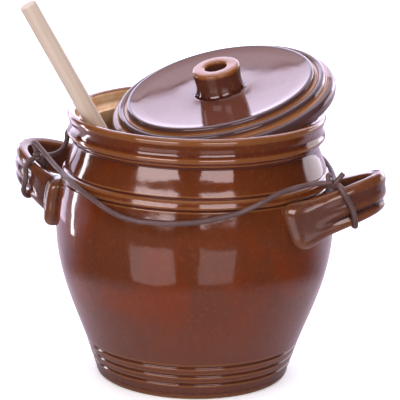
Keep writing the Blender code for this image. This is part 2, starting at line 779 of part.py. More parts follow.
def make_cord(finish):
    """Both strands, both hitches with their knots, and the short tail at the right."""
    left = strap_place(LEFT_HANDLE_RISE, math.pi, LEFT_WRAP_SHARE)
    right = strap_place(RIGHT_HANDLE_RISE, 0.0, RIGHT_WRAP_SHARE)
    left_knot = knot_place(LEFT_STRAP_WIDTH, left)
    right_knot = knot_place(RIGHT_STRAP_WIDTH, right)
    make_knot("cord_knot_left", left_knot, finish)
    make_knot("cord_knot_right", right_knot, finish)
    make_wrap("cord_wrap_left", LEFT_STRAP_WIDTH, left, finish)
    make_wrap("cord_wrap_right", RIGHT_STRAP_WIDTH, right, finish)
    front = (FRONT_LEFT_END, resting(FRONT_REST), FRONT_RIGHT_END)
    back = (BACK_LEFT_END, resting(BACK_REST), BACK_RIGHT_END)
    cord_tube("cord_front", between_knots(left_knot, *front, right_knot), CORD_STEP, finish)
    cord_tube("cord_back", between_knots(left_knot, *back, right_knot), CORD_STEP, finish)
    direction = Vector(TAIL_DIRECTION).normalized()
    cut_end = right_knot + direction * (KNOT_RADIUS + SEAT_GAP)
    cord_tube("cord_tail", [cut_end, cut_end + direction * TAIL_LENGTH], WRAP_STEP, finish)


def main():
    clear_scene()
    glaze = material("brown_glaze", (0.150, 0.036, 0.015), 0.12)
    make_crock(glaze)
    cutter = make_handle_cutter()
    handle_glaze = material("handle_glaze", (0.120, 0.034, 0.016), 0.14)
    make_handle("handle_right", RIGHT_STRAP_WIDTH, RIGHT_HANDLE_RISE, 0.0, handle_glaze, cutter)
    make_handle("handle_left", LEFT_STRAP_WIDTH, LEFT_HANDLE_RISE, math.pi, handle_glaze, cutter)
    lid = make_lid(material("lid_glaze", (0.110, 0.035, 0.022), 0.12))
    make_knob(material("knob_glaze", (0.130, 0.040, 0.018), 0.12), lid)
    make_fork(material("pale_beech", (0.620, 0.470, 0.310), 0.60))
    make_cord(material("brown_leather", (0.090, 0.052, 0.046), 0.55))


main()
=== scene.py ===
"""Looks of a glazed stoneware pickle crock: thrown body, two fluted strap handles, a stepped lid
set ajar, a wooden pickle fork and a leather carrying cord hitched round both handles.
Metres, +Z up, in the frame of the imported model, with the front of the belly towards -Y."""

import logging
import math
from dataclasses import dataclass
from enum import Enum

import bmesh
import bpy
from mathutils import Matrix, Vector, kdtree, noise

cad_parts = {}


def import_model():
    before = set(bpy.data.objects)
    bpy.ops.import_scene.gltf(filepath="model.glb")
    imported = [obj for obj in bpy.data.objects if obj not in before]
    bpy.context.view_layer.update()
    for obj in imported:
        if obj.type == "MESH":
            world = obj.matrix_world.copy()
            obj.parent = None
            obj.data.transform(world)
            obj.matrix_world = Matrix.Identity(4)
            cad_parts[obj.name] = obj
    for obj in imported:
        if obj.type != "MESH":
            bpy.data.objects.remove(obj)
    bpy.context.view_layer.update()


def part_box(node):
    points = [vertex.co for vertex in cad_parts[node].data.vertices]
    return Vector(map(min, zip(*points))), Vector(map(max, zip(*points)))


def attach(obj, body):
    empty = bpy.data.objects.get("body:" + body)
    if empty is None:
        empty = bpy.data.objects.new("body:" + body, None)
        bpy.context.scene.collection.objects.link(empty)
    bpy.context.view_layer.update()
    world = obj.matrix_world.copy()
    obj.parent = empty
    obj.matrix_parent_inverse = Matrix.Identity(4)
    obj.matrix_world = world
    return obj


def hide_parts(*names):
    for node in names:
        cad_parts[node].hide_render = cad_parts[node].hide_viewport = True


Colour = tuple[float, float, float]
Pair = tuple[float, float]
Point = tuple[float, float, float]
Outline = list[Pair]
Finish = bpy.types.Material
Piece = bpy.types.Object
Shape = bmesh.types.BMesh
Socket = bpy.types.NodeSocket

LOG = logging.getLogger("pickle_crock")
UP = Vector((0.0, 0.0, 1.0))
THIN = "glaze_thickness"
INSIDE = "inside"
LAID_OUT = "laid_out"


class Body(Enum):
    """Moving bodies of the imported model."""

    CROCK = "crock"
    LID = "loose_lid"
    FORK = "fork"


class Slot(Enum):
    """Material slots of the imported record."""

    GLAZE = "brown_glaze"
    HANDLE = "handle_glaze"
    LID = "lid_glaze"
    KNOB = "knob_glaze"
    WOOD = "pale_beech"
    LEATHER = "brown_leather"


class Lights(Enum):
    """What a lamp lights."""

    ALL = "all"
    GLOSS = "gloss"
    MATT = "matt"


class NodeSheet:
    """Short calls that wire the shader nodes of one material or world."""

    def __init__(self, owner: bpy.types.ID, shader: str = "Principled BSDF") -> None:
        """Starts on the owner's own nodes.

        Args:
            owner: The material or world.
            shader: Name of the node that shades it.
        """
        owner.use_nodes = True
        self.owner = owner
        self.tree = owner.node_tree
        self.shader = self.tree.nodes[shader]

    def fill(self, node: bpy.types.Node, inputs: dict[str | int, object]) -> None:
        """Links a node's inputs to other sockets, or sets their plain values.

        Args:
            node: The node.
            inputs: A socket, number, colour or vector for each input's name or number.
        """
        for key, value in inputs.items():
            target = node.inputs[key]
            if isinstance(value, Socket):
                self.tree.links.new(value, target)
            elif isinstance(value, tuple) and target.type == "RGBA":
                target.default_value = (*value, 1.0)
            else:
                target.default_value = value

    def add(self, kind: str, inputs: dict | None = None, **settings: object) -> bpy.types.Node:
        """Adds a node.

        Args:
            kind: Blender's node type, without ShaderNode in front.
            inputs: What its inputs take.
            settings: The node's own options by name.

        Returns:
            The new node.
        """
        node = self.tree.nodes.new(f"ShaderNode{kind}")
        for key, value in settings.items():
            setattr(node, key, value)
        self.fill(node, inputs or {})
        return node

    def mapped(self, vector: Socket, scale: Point, turn: Point = (0.0, 0.0, 0.0)) -> Socket:
        """A vector, turned by Euler angles and then stretched along each axis."""
        return self.add("Mapping", {"Vector": vector, "Scale": scale, "Rotation": turn}).outputs["Vector"]

    def place(self, scale: Point = (1.0, 1.0, 1.0), turn: Point = (0.0, 0.0, 0.0)) -> Socket:
        """Object coordinates, turned and then stretched."""
        return self.mapped(self.add("TexCoord").outputs["Object"], scale, turn)

    def height(self) -> Socket:
        """Height above the table."""
        return self.add("SeparateXYZ", {0: self.place()}).outputs["Z"]

    def attribute(self, name: str, output: str = "Fac") -> Socket:
        """Reads a value kept on the mesh's points."""
        return self.add("Attribute", attribute_name=name).outputs[output]

    def noise(self, vector: Socket, scale: float, detail: float = 4.0, warp: float = 0.0) -> Socket:
        """Cloudy noise from 0 to 1.

        Args:
            vector: Where it is read.
            scale: Clouds per metre.
            detail: Octaves of finer noise.
            warp: How far the noise bends itself.

        Returns:
            The noise's value.
        """
        inputs = {"Vector": vector, "Scale": scale, "Detail": detail, "Distortion": warp}
        return self.add("TexNoise", inputs).outputs["Fac"]

    def streaks(self, vector: Socket, scale: Point, detail: float) -> Socket:
        """Noise with its own number of streaks per metre along each axis."""
        return self.noise(self.mapped(vector, scale), 1.0, detail)

    def specks(self, vector: Socket, scale: float, size: float) -> Socket:
        """Round specks: 1 in the middle of each, 0 between them.

        Args:
            vector: Where they are read.
            scale: Specks per metre.
            size: A speck's radius as a share of the spacing.

        Returns:
            The specks' value.
        """
        cells = self.add("TexVoronoi", {"Vector": vector, "Scale": scale})
        return self.span(cells.outputs["Distance"], size, 0.3 * size)

    def span(self, value: Socket, low: float, high: float, start: float = 0.0, end: float = 1.0) -> Socket:
        """A smooth step from start to end as a value goes from low to high."""
        inputs = {"Value": value, "From Min": low, "From Max": high, "To Min": start, "To Max": end}
        return self.add("MapRange", inputs, interpolation_type="SMOOTHSTEP").outputs["Result"]

    def maths(self, operation: str, first: object, second: object = 0.0) -> Socket:
        """One step of arithmetic on two values."""
        return self.add("Math", {0: first, 1: second}, operation=operation).outputs["Value"]

    def wavering(self, value: Socket, cloud: Socket, amount: float) -> Socket:
        """A value that a cloudy noise moves up and down by half an amount."""
        off = self.maths("MULTIPLY", self.maths("SUBTRACT", cloud, 0.5), amount)
        return self.maths("ADD", value, off)

    def number(self, share: object, first: object, second: object) -> Socket:
        """A number between two others: share 0 gives the first and 1 the second."""
        return self.add("Mix", {0: share, 2: first, 3: second}, data_type="FLOAT").outputs[0]

    def blend(self, share: object, first: object, second: object) -> Socket:
        """Mixes two colours: share 0 gives the first and 1 the second."""
        return self.add("Mix", {0: share, 6: first, 7: second}, data_type="RGBA").outputs[2]

    def layered(self, colour: object, *layers: tuple[Socket, object]) -> Socket:
        """Lays colours over a first one, each with its share, from the lowest up."""
        for share, tone in layers:
            colour = self.blend(share, colour, tone)
        return colour

    def relief(self, *parts: tuple[Socket, float]) -> None:
        """Feeds the shader's normal from heights of 0 to 1, each with its depth in metres."""
        normal = {}
        for height, depth in parts:
            bump = self.add("Bump", {"Height": height, "Distance": depth, **normal})
            normal = {"Normal": bump.outputs["Normal"]}
        self.fill(self.shader, normal)

    def seen(self) -> Socket:
        """1 where the camera sees it, also through something clear, and 0 elsewhere."""
        path = self.add("LightPath").outputs
        return self.maths("MAXIMUM", path["Is Camera Ray"], path["Is Transmission Ray"])

    def mirrored(self) -> Socket:
        """1 where a reflection sees it, and 0 elsewhere."""
        return self.add("LightPath").outputs["Is Glossy Ray"]


@dataclass(frozen=True)
class GlazeFinish:
    """Gloss iron glaze: amber where it runs thin over an edge, dark where it pools."""

    name: str
    full: Colour
    deep: Colour
    thin: Colour
    pooled: Colour
    # low: greyer, mauve colour that paints the pale floor's reflection into the glaze by height.
    low: Colour
    liner: Colour = (0.740, 0.430, 0.210)
    liner_light: Colour = (0.810, 0.550, 0.320)
    clay: Colour = (0.420, 0.270, 0.150)
    clay_roughness: float = 0.85
    roughness: float = 0.07
    roughness_spread: float = 0.07
    refraction: float = 1.52
    low_height: float = 0.085
    low_full_height: float = 0.030
    foot_height: float = 0.0012
    wave: float = 0.00030
    dimple: float = 0.000025
    speck_depth: float = 0.00004
    mottling: float = 0.30

    def material(self) -> Finish:
        """Builds the glaze.

        Returns:
            The material.
        """
        sheet = NodeSheet(bpy.data.materials.new(self.name))
        place = sheet.place()
        height = sheet.height()
        cloud = sheet.noise(place, 60.0, 4.0)
        mottle = sheet.noise(place, 420.0, 5.0)
        drift = sheet.span(sheet.noise(place, 24.0, 3.0, 0.6), 0.40, 0.66)
        clouded = sheet.maths("ADD", height, sheet.maths("MULTIPLY", cloud, 0.03))
        # Painted reflection of the pale floor: up to three quarters of the greyer, mauve low colour, set by
        # height; on the jar it grows towards the foot.
        sunk = sheet.maths("MULTIPLY", sheet.span(clouded, self.low_height, self.low_full_height), 0.75)
        runs = sheet.noise(sheet.place((170.0, 170.0, 16.0)), 1.0, 3.0)
        ragged = sheet.wavering(sheet.attribute(THIN), mottle, 0.30)
        edge = sheet.wavering(sheet.attribute(INSIDE), cloud, 0.25)
        liner = sheet.layered(
            self.liner,
            (sheet.span(sheet.noise(place, 90.0, 4.0), 0.40, 0.62), self.liner_light),
            (sheet.span(ragged, 0.42, 0.22, 0.0, 0.25), self.full),
        )
        scarce = sheet.span(sheet.noise(place, 130.0, 1.0), 0.56, 0.60)
        iron = sheet.maths("MULTIPLY", sheet.specks(place, 210.0, 0.10), scarce)
        bare = sheet.span(height, self.foot_height, 0.5 * self.foot_height)
        colour = sheet.layered(
            self.full,
            (drift, self.deep),
            # painted reflection of the floor
            (sunk, self.low),
            (sheet.span(runs, 0.55, 0.80, 0.0, 0.35), self.pooled),
            (sheet.span(mottle, 0.50, 0.75, 0.0, self.mottling), self.thin),
            (sheet.span(ragged, 0.57, 0.84), self.thin),
            (sheet.span(ragged, 0.40, 0.16), self.pooled),
            (sheet.span(edge, 0.40, 0.60), liner),
            (sheet.maths("MULTIPLY", iron, 0.8), self.pooled),
            (bare, self.clay),
        )
        dullest = self.roughness + self.roughness_spread
        gloss = sheet.span(sheet.noise(place, 75.0, 3.0), 0.30, 0.80, self.roughness, dullest)
        rough = sheet.maths("MAXIMUM", gloss, sheet.maths("MULTIPLY", bare, self.clay_roughness))
        sheet.fill(sheet.shader, {"Base Color": colour, "Roughness": rough, "IOR": self.refraction})
        sheet.relief(
            (sheet.noise(place, 48.0, 2.0), self.wave),
            (sheet.noise(place, 330.0, 2.0), self.dimple),
            (sheet.maths("SUBTRACT", 1.0, iron), self.speck_depth),
        )
        return sheet.owner


@dataclass(frozen=True)
class WoodFinish:
    """Bare sanded pale wood with grain along the rod and rings on its end."""

    name: str
    pale: Colour
    dark: Colour
    ray: Colour

    def material(self, turn: Matrix) -> Finish:
        """Builds the wood for a rod that leans.

        Args:
            turn: Rotation that takes the rod's own axes to the world's.

        Returns:
            The material.
        """
        sheet = NodeSheet(bpy.data.materials.new(self.name))
        own = sheet.place(turn=tuple(turn.inverted().to_euler("XYZ")))
        waves = {"Scale": 170.0, "Distortion": 5.0, "Detail Scale": 1.2}
        waves["Vector"] = sheet.mapped(own, (1.0, 0.6, 0.012))
        bands = sheet.add("TexWave", waves, wave_type="BANDS", bands_direction="DIAGONAL").outputs["Fac"]
        warp = sheet.streaks(own, (60.0, 60.0, 7.0), 3.0)
        grain = sheet.streaks(own, (1500.0, 1500.0, 45.0), 4.0)
        pores = sheet.streaks(own, (4200.0, 4200.0, 160.0), 2.0)
        colour = sheet.layered(
            self.pale,
            (sheet.span(bands, 0.2, 0.9, 0.0, 0.45), self.dark),
            (sheet.span(warp, 0.35, 0.75, 0.0, 0.5), self.ray),
            (sheet.span(grain, 0.45, 0.80, 0.0, 0.40), self.dark),
            (sheet.span(pores, 0.62, 0.80, 0.0, 0.35), self.dark),
        )
        rough = sheet.span(grain, 0.3, 0.8, 0.52, 0.68)
        sheet.fill(sheet.shader, {"Base Color": colour, "Roughness": rough})
        sheet.relief((grain, 0.00006), (pores, 0.00005))
        return sheet.owner


@dataclass(frozen=True)
class LeatherFinish:
    """Round drawn leather: dark, dull, with fine lengthwise creases and worn high spots."""

    name: str
    hide: Colour
    worn: Colour
    crease: Colour

    def material(self) -> Finish:
        """Builds the leather.

        Returns:
            The material.
        """
        sheet = NodeSheet(bpy.data.materials.new(self.name))
        laid = sheet.attribute(LAID_OUT, "Vector")
        fibres = sheet.streaks(laid, (2600.0, 2600.0, 130.0), 4.0)
        pores = sheet.streaks(laid, (5200.0, 5200.0, 3200.0), 3.0)
        rubbed = sheet.streaks(laid, (320.0, 320.0, 60.0), 4.0)
        colour = sheet.layered(
            self.hide,
            (sheet.span(fibres, 0.40, 0.75), self.crease),
            (sheet.span(rubbed, 0.42, 0.72, 0.0, 0.75), self.worn),
            (sheet.span(pores, 0.60, 0.80, 0.0, 0.5), self.crease),
        )
        rough = sheet.span(rubbed, 0.3, 0.8, 0.58, 0.42)
        sheen = {"Sheen Weight": 0.08, "Sheen Roughness": 0.4}
        sheet.fill(sheet.shader, {"Base Color": colour, "Roughness": rough, **sheen})
        sheet.relief((fibres, 0.00012), (pores, 0.00006))
        return sheet.owner


def bezier(start: Pair, first: Pair, second: Pair, end: Pair, steps: int) -> Outline:
    """Points along a cubic curve, without its start.

    Args:
        start: First point.
        first: Handle of the first point.
        second: Handle of the last point.
        end: Last point.
        steps: How many points.

    Returns:
        The points.
    """
    corners = (start, first, second, end)
    points = []
    for i in range(1, steps + 1):
        t = i / steps
        weights = ((1 - t) ** 3, 3 * t * (1 - t) ** 2, 3 * t * t * (1 - t), t**3)
        points.append(tuple(sum(w * corner[k] for w, corner in zip(weights, corners)) for k in (0, 1)))
    return points


def curve(start: Pair, leave: Pair, arrive: Pair, end: Pair, steps: int) -> Outline:
    """Points along a cubic curve, without its start, with each handle measured from its own end.

    Args:
        start: First point.
        leave: Handle of the first point, from there.
        arrive: Handle of the last point, from there.
        end: Last point.
        steps: How many points.

    Returns:
        The points.
    """
    first = (start[0] + leave[0], start[1] + leave[1])
    second = (end[0] + arrive[0], end[1] + arrive[1])
    return bezier(start, first, second, end, steps)


def straight(start: Pair, end: Pair, steps: int) -> Outline:
    """Even points along a straight line, without its start."""
    return [tuple(start[k] + (end[k] - start[k]) * i / steps for k in (0, 1)) for i in range(1, steps + 1)]


def arc(centre: Pair, radius: float, start: float, end: float, steps: int) -> Outline:
    """Points on a round edge, both ends included, with its angles in degrees from outwards."""
    angles = [math.radians(start + (end - start) * i / steps) for i in range(steps + 1)]
    return [(centre[0] + radius * math.cos(a), centre[1] + radius * math.sin(a)) for a in angles]


def eased(corners: list[Point], steps: int = 6) -> Outline:
    """A line through corners, each rounded over its own reach.

    Args:
        corners: Radius, height and reach of each corner.
        steps: Points on each rounded corner.

    Returns:
        The points.
    """
    most_of_side, pull = 0.48, 0.6
    points = [corners[0][:2]]
    for before, corner, after in zip(corners, corners[1:], corners[2:]):
        here = Vector(corner[:2])
        back, ahead = Vector(before[:2]) - here, Vector(after[:2]) - here
        reach = min(corner[2], most_of_side * back.length, most_of_side * ahead.length)
        start = here + back.normalized() * reach
        end = here + ahead.normalized() * reach
        points.append(tuple(start))
        points += bezier(start, start.lerp(here, pull), end.lerp(here, pull), end, steps)
    points.append(corners[-1][:2])
    return points


def polar(radius: float, angle: float, height: float = 0.0) -> Vector:
    """A place at a distance from the Z axis, an angle round it and a height."""
    return Vector((radius * math.cos(angle), radius * math.sin(angle), height))


def hump(off: float) -> float:
    """A smooth hump: 1 in its middle, 0 from a distance of 1 on."""
    return 0.5 * (1 + math.cos(math.pi * off)) if off < 1.0 else 0.0


def thinness(rise: float, depth: float) -> float:
    """How thin glaze runs, from 0 to 1, where it stands proud by a rise: 0.5 on the flat."""
    return min(1.0, max(0.0, 0.5 + 0.5 * rise / depth))


def thickness_along(outline: Outline, reach: float, depth: float) -> list[float]:
    """How thin the glaze runs along an outline: 1 over an edge, 0 in a hollow, 0.5 on the flat.

    Args:
        outline: Points with the piece on their left.
        reach: Length over which an edge counts.
        depth: Height of an edge above its surroundings that makes the glaze thinnest.

    Returns:
        One value for each point.
    """
    points = [Vector(point) for point in outline]
    lengths = [0.0]
    for before, after in zip(points, points[1:]):
        lengths.append(lengths[-1] + (after - before).length)
    values = []
    for here, length in zip(points, lengths):
        ends = []
        for side in (-1, 1):
            wanted = min(max(length + side * reach, 0.0), lengths[-1])
            index = max(1, next((i for i, at in enumerate(lengths) if at >= wanted), len(lengths) - 1))
            span = max(lengths[index] - lengths[index - 1], 1e-9)
            ends.append(points[index - 1].lerp(points[index], (wanted - lengths[index - 1]) / span))
        along = ends[1] - ends[0]
        outward = Vector((along.y, -along.x)).normalized() if along.length > 0 else Vector((1.0, 0.0))
        values.append(thinness((here - (ends[0] + ends[1]) / 2).dot(outward), depth))
    return values


def keep_values(piece: Piece, name: str, values: list[float]) -> None:
    """Stores one number for each point of a piece's mesh."""
    piece.data.attributes.new(name, "FLOAT", "POINT").data.foreach_set("value", values)


def placed(name: str, data: bpy.types.ID) -> Piece:
    """Makes an object of some data and puts it in the scene."""
    made = bpy.data.objects.new(name, data)
    bpy.context.scene.collection.objects.link(made)
    return made


def finished(name: str, shape: Shape, sharp: float = 40.0) -> Piece:
    """Turns a bmesh into a named, smooth-shaded piece with its faces outwards.

    Args:
        name: The piece's name.
        shape: The mesh, which is freed.
        sharp: Angle in degrees above which an edge stays crisp.

    Returns:
        The new object, at the origin.
    """
    bmesh.ops.recalc_face_normals(shape, faces=shape.faces)
    data = bpy.data.meshes.new(name)
    shape.to_mesh(data)
    shape.free()
    data.shade_smooth()
    data.set_sharp_from_angle(angle=math.radians(sharp))
    return placed(name, data)


def capped(shape: Shape) -> None:
    """Closes a shape's open ends with flat faces."""
    bmesh.ops.edgeloop_fill(shape, edges=[edge for edge in shape.edges if edge.is_boundary])


def block(size: Point) -> Shape:
    """A cuboid round the origin."""
    shape = bmesh.new()
    bmesh.ops.create_cube(shape, size=1.0)
    bmesh.ops.scale(shape, vec=size, verts=shape.verts)
    return shape


def rounded(shape: Shape, edges: list[bmesh.types.BMEdge], reach: float) -> None:
    """Rounds some edges of a shape over a reach."""
    look = {"segments": 6, "profile": 0.5, "affect": "EDGES", "material": -1}
    bmesh.ops.bevel(shape, geom=edges, offset=reach, **look)


def spun(
    name: str,
    outline: Outline,
    sides: int,
    inside_from: int | None = None,
    reach: float = 0.0011,
    depth: float = 0.00024,
) -> Piece:
    """Turns an outline round the Z axis and closes its two ends flat.

    Args:
        name: The piece's name.
        outline: Points with the piece on their left.
        sides: Steps of the turn.
        inside_from: Index of the first point that has the liner glaze.
        reach: Length over which an edge thins the glaze.
        depth: Height of an edge that thins it most.

    Returns:
        The piece, with its glaze values on its points.
    """
    shape = bmesh.new()
    verts = [shape.verts.new((radius, 0.0, height)) for radius, height in outline]
    edges = [shape.edges.new(pair) for pair in zip(verts, verts[1:])]
    turn = {"axis": UP, "cent": (0, 0, 0), "angle": math.tau, "steps": sides, "use_merge": True}
    bmesh.ops.spin(shape, geom=verts + edges, **turn)
    bmesh.ops.remove_doubles(shape, verts=shape.verts, dist=1e-6)
    capped(shape)
    made = finished(name, shape)
    tree = kdtree.KDTree(len(outline))
    for index, (radius, height) in enumerate(outline):
        tree.insert((radius, 0.0, height), index)
    tree.balance()
    found = [tree.find((math.hypot(v.co.x, v.co.y), 0.0, v.co.z))[1] for v in made.data.vertices]
    thin = thickness_along(outline, reach, depth)
    keep_values(made, THIN, [thin[index] for index in found])
    first = len(outline) + 1 if inside_from is None else inside_from
    keep_values(made, INSIDE, [1.0 if index >= first else 0.0 for index in found])
    return made


def settled(piece: Piece) -> None:
    """Applies a piece's modifiers to its mesh."""
    graph = bpy.context.evaluated_depsgraph_get()
    graph.update()
    data = bpy.data.meshes.new_from_object(piece.evaluated_get(graph))
    piece.modifiers.clear()
    piece.data = data


def joined(piece: Piece, other: Piece, operation: str) -> None:
    """Joins or cuts a piece with another, which is used up.

    Args:
        piece: The piece that stays.
        other: The piece that is added or cut away.
        operation: UNION or DIFFERENCE.
    """
    step = piece.modifiers.new("join", "BOOLEAN")
    step.operation = operation
    step.solver = "EXACT"
    step.object = other
    settled(piece)
    bpy.data.objects.remove(other, do_unlink=True)


def smoothed(shape: Shape, passes: int, share: float) -> None:
    """Moves each point a share of the way to the middle of its neighbours, in every pass."""
    axes = {f"use_axis_{axis}": True for axis in "xyz"}
    for _ in range(passes):
        bmesh.ops.smooth_vert(shape, verts=shape.verts, factor=share, **axes)


def softened(piece: Piece, grain: float, passes: int) -> None:
    """Melds a piece into one even skin and rounds its joins, as a potter's finger does.

    Args:
        piece: The piece.
        grain: Size of the new faces.
        passes: How often the skin is smoothed.
    """
    meld = piece.modifiers.new("meld", "REMESH")
    meld.mode = "VOXEL"
    meld.voxel_size = grain
    meld.use_smooth_shade = True
    settled(piece)
    shape = bmesh.new()
    shape.from_mesh(piece.data)
    smoothed(shape, passes, 0.5)
    bmesh.ops.recalc_face_normals(shape, faces=shape.faces)
    shape.to_mesh(piece.data)
    shape.free()
    piece.data.shade_smooth()


def thickness_on_skin(piece: Piece, passes: int, depth: float) -> None:
    """Stores how thin the glaze runs on a melded skin, from how far each point stands proud.

    Args:
        piece: The piece, with even faces.
        passes: Width of the edges that count, in smoothing passes.
        depth: Height above the surroundings that makes the glaze thinnest.
    """
    shape = bmesh.new()
    shape.from_mesh(piece.data)
    starts = [(vert.co.copy(), vert.normal.copy()) for vert in shape.verts]
    smoothed(shape, passes, 1.0)
    rises = [(start - vert.co).dot(normal) for (start, normal), vert in zip(starts, shape.verts)]
    shape.free()
    keep_values(piece, THIN, [thinness(rise, depth) for rise in rises])
    keep_values(piece, INSIDE, [0.0] * len(rises))


def smooth_line(route: list[Vector], step: float) -> list[Vector]:
    """Points read from a smooth curve through a route, no farther apart than a step.

    Args:
        route: The route's own points.
        step: Longest distance between the new points.

    Returns:
        The new points.
    """
    ends = [2 * route[0] - route[1]] + list(route) + [2 * route[-1] - route[-2]]
    points = [route[0]]
    for before, start, end, after in zip(ends, ends[1:], ends[2:], ends[3:]):
        count = max(1, math.ceil((end - start).length / step))
        for i in range(1, count + 1):
            t = i / count
            linear = end - before
            square = 2 * before - 5 * start + 4 * end - after
            cube = 3 * start - before - 3 * end + after
            points.append(start + 0.5 * t * (linear + t * (square + t * cube)))
    return points


def across_strap(along: Vector, tilt: float) -> tuple[Vector, Vector]:
    """Outward and upward directions across a strap.

    Args:
        along: The strap's own direction.
        tilt: How far its section leans inwards, in radians.

    Returns:
        Both directions.
    """
    lean = Vector((-math.sin(tilt), 0.0, math.cos(tilt)))
    up = (lean - along * along.dot(lean)).normalized()
    return along.cross(up), up


def swept_cord(name: str, line: list[Vector], radius: float, sides: int = 14) -> Piece:
    """Draws a round cord along a line, a little uneven, with its ends cut square.

    Args:
        name: The piece's name.
        line: Points of the middle line, close together.
        radius: The cord's radius.
        sides: Sides of its section.

    Returns:
        The piece, with its unrolled place on its points.
    """
    unevenness, wave_length, seed = 0.05, 0.009, radius * 900.0
    shape = bmesh.new()
    places = shape.verts.layers.float_vector.new(LAID_OUT)
    across = (line[1] - line[0]).normalized().orthogonal().normalized()
    ring = bmesh.ops.create_circle(shape, segments=sides, radius=radius)["verts"]
    edges = list({edge for vert in ring for edge in vert.link_edges})
    length = 0.0
    for index, point in enumerate(line):
        ahead = line[min(index + 1, len(line) - 1)] - line[max(index - 1, 0)]
        along = ahead.normalized()
        across = (across - along * across.dot(along)).normalized()
        other = along.cross(across)
        if index > 0:
            length += (point - line[index - 1]).length
            grown = bmesh.ops.extrude_edge_only(shape, edges=edges)["geom"]
            fresh = {item for item in grown if isinstance(item, bmesh.types.BMVert)}
            pairs = [[edge.other_vert(vert) for edge in vert.link_edges] for vert in ring]
            ring = [next(vert for vert in pair if vert in fresh) for pair in pairs]
            edges = [shape.edges.get(pair) for pair in zip(ring, ring[1:] + ring[:1])]
        uneven = 1.0 + unevenness * noise.noise(Vector((length / wave_length, seed, 0.0)))
        for i, vert in enumerate(ring):
            turn = math.tau * i / sides
            side = across * math.cos(turn) + other * math.sin(turn)
            vert.co = point + side * radius * uneven
            vert[places] = (radius * math.cos(turn), radius * math.sin(turn), length)
    capped(shape)
    return finished(name, shape, sharp=60.0)


def dress(piece: Piece, finish: Finish, body: Body, node: str) -> Piece:
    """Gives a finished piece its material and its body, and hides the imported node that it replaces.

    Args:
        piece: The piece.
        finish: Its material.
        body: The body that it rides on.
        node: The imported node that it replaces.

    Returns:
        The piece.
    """
    piece.data.materials.clear()
    piece.data.materials.append(finish)
    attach(piece, body.value)
    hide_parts(node)
    LOG.info("%s: %d faces", piece.name, len(piece.data.polygons))
    return piece


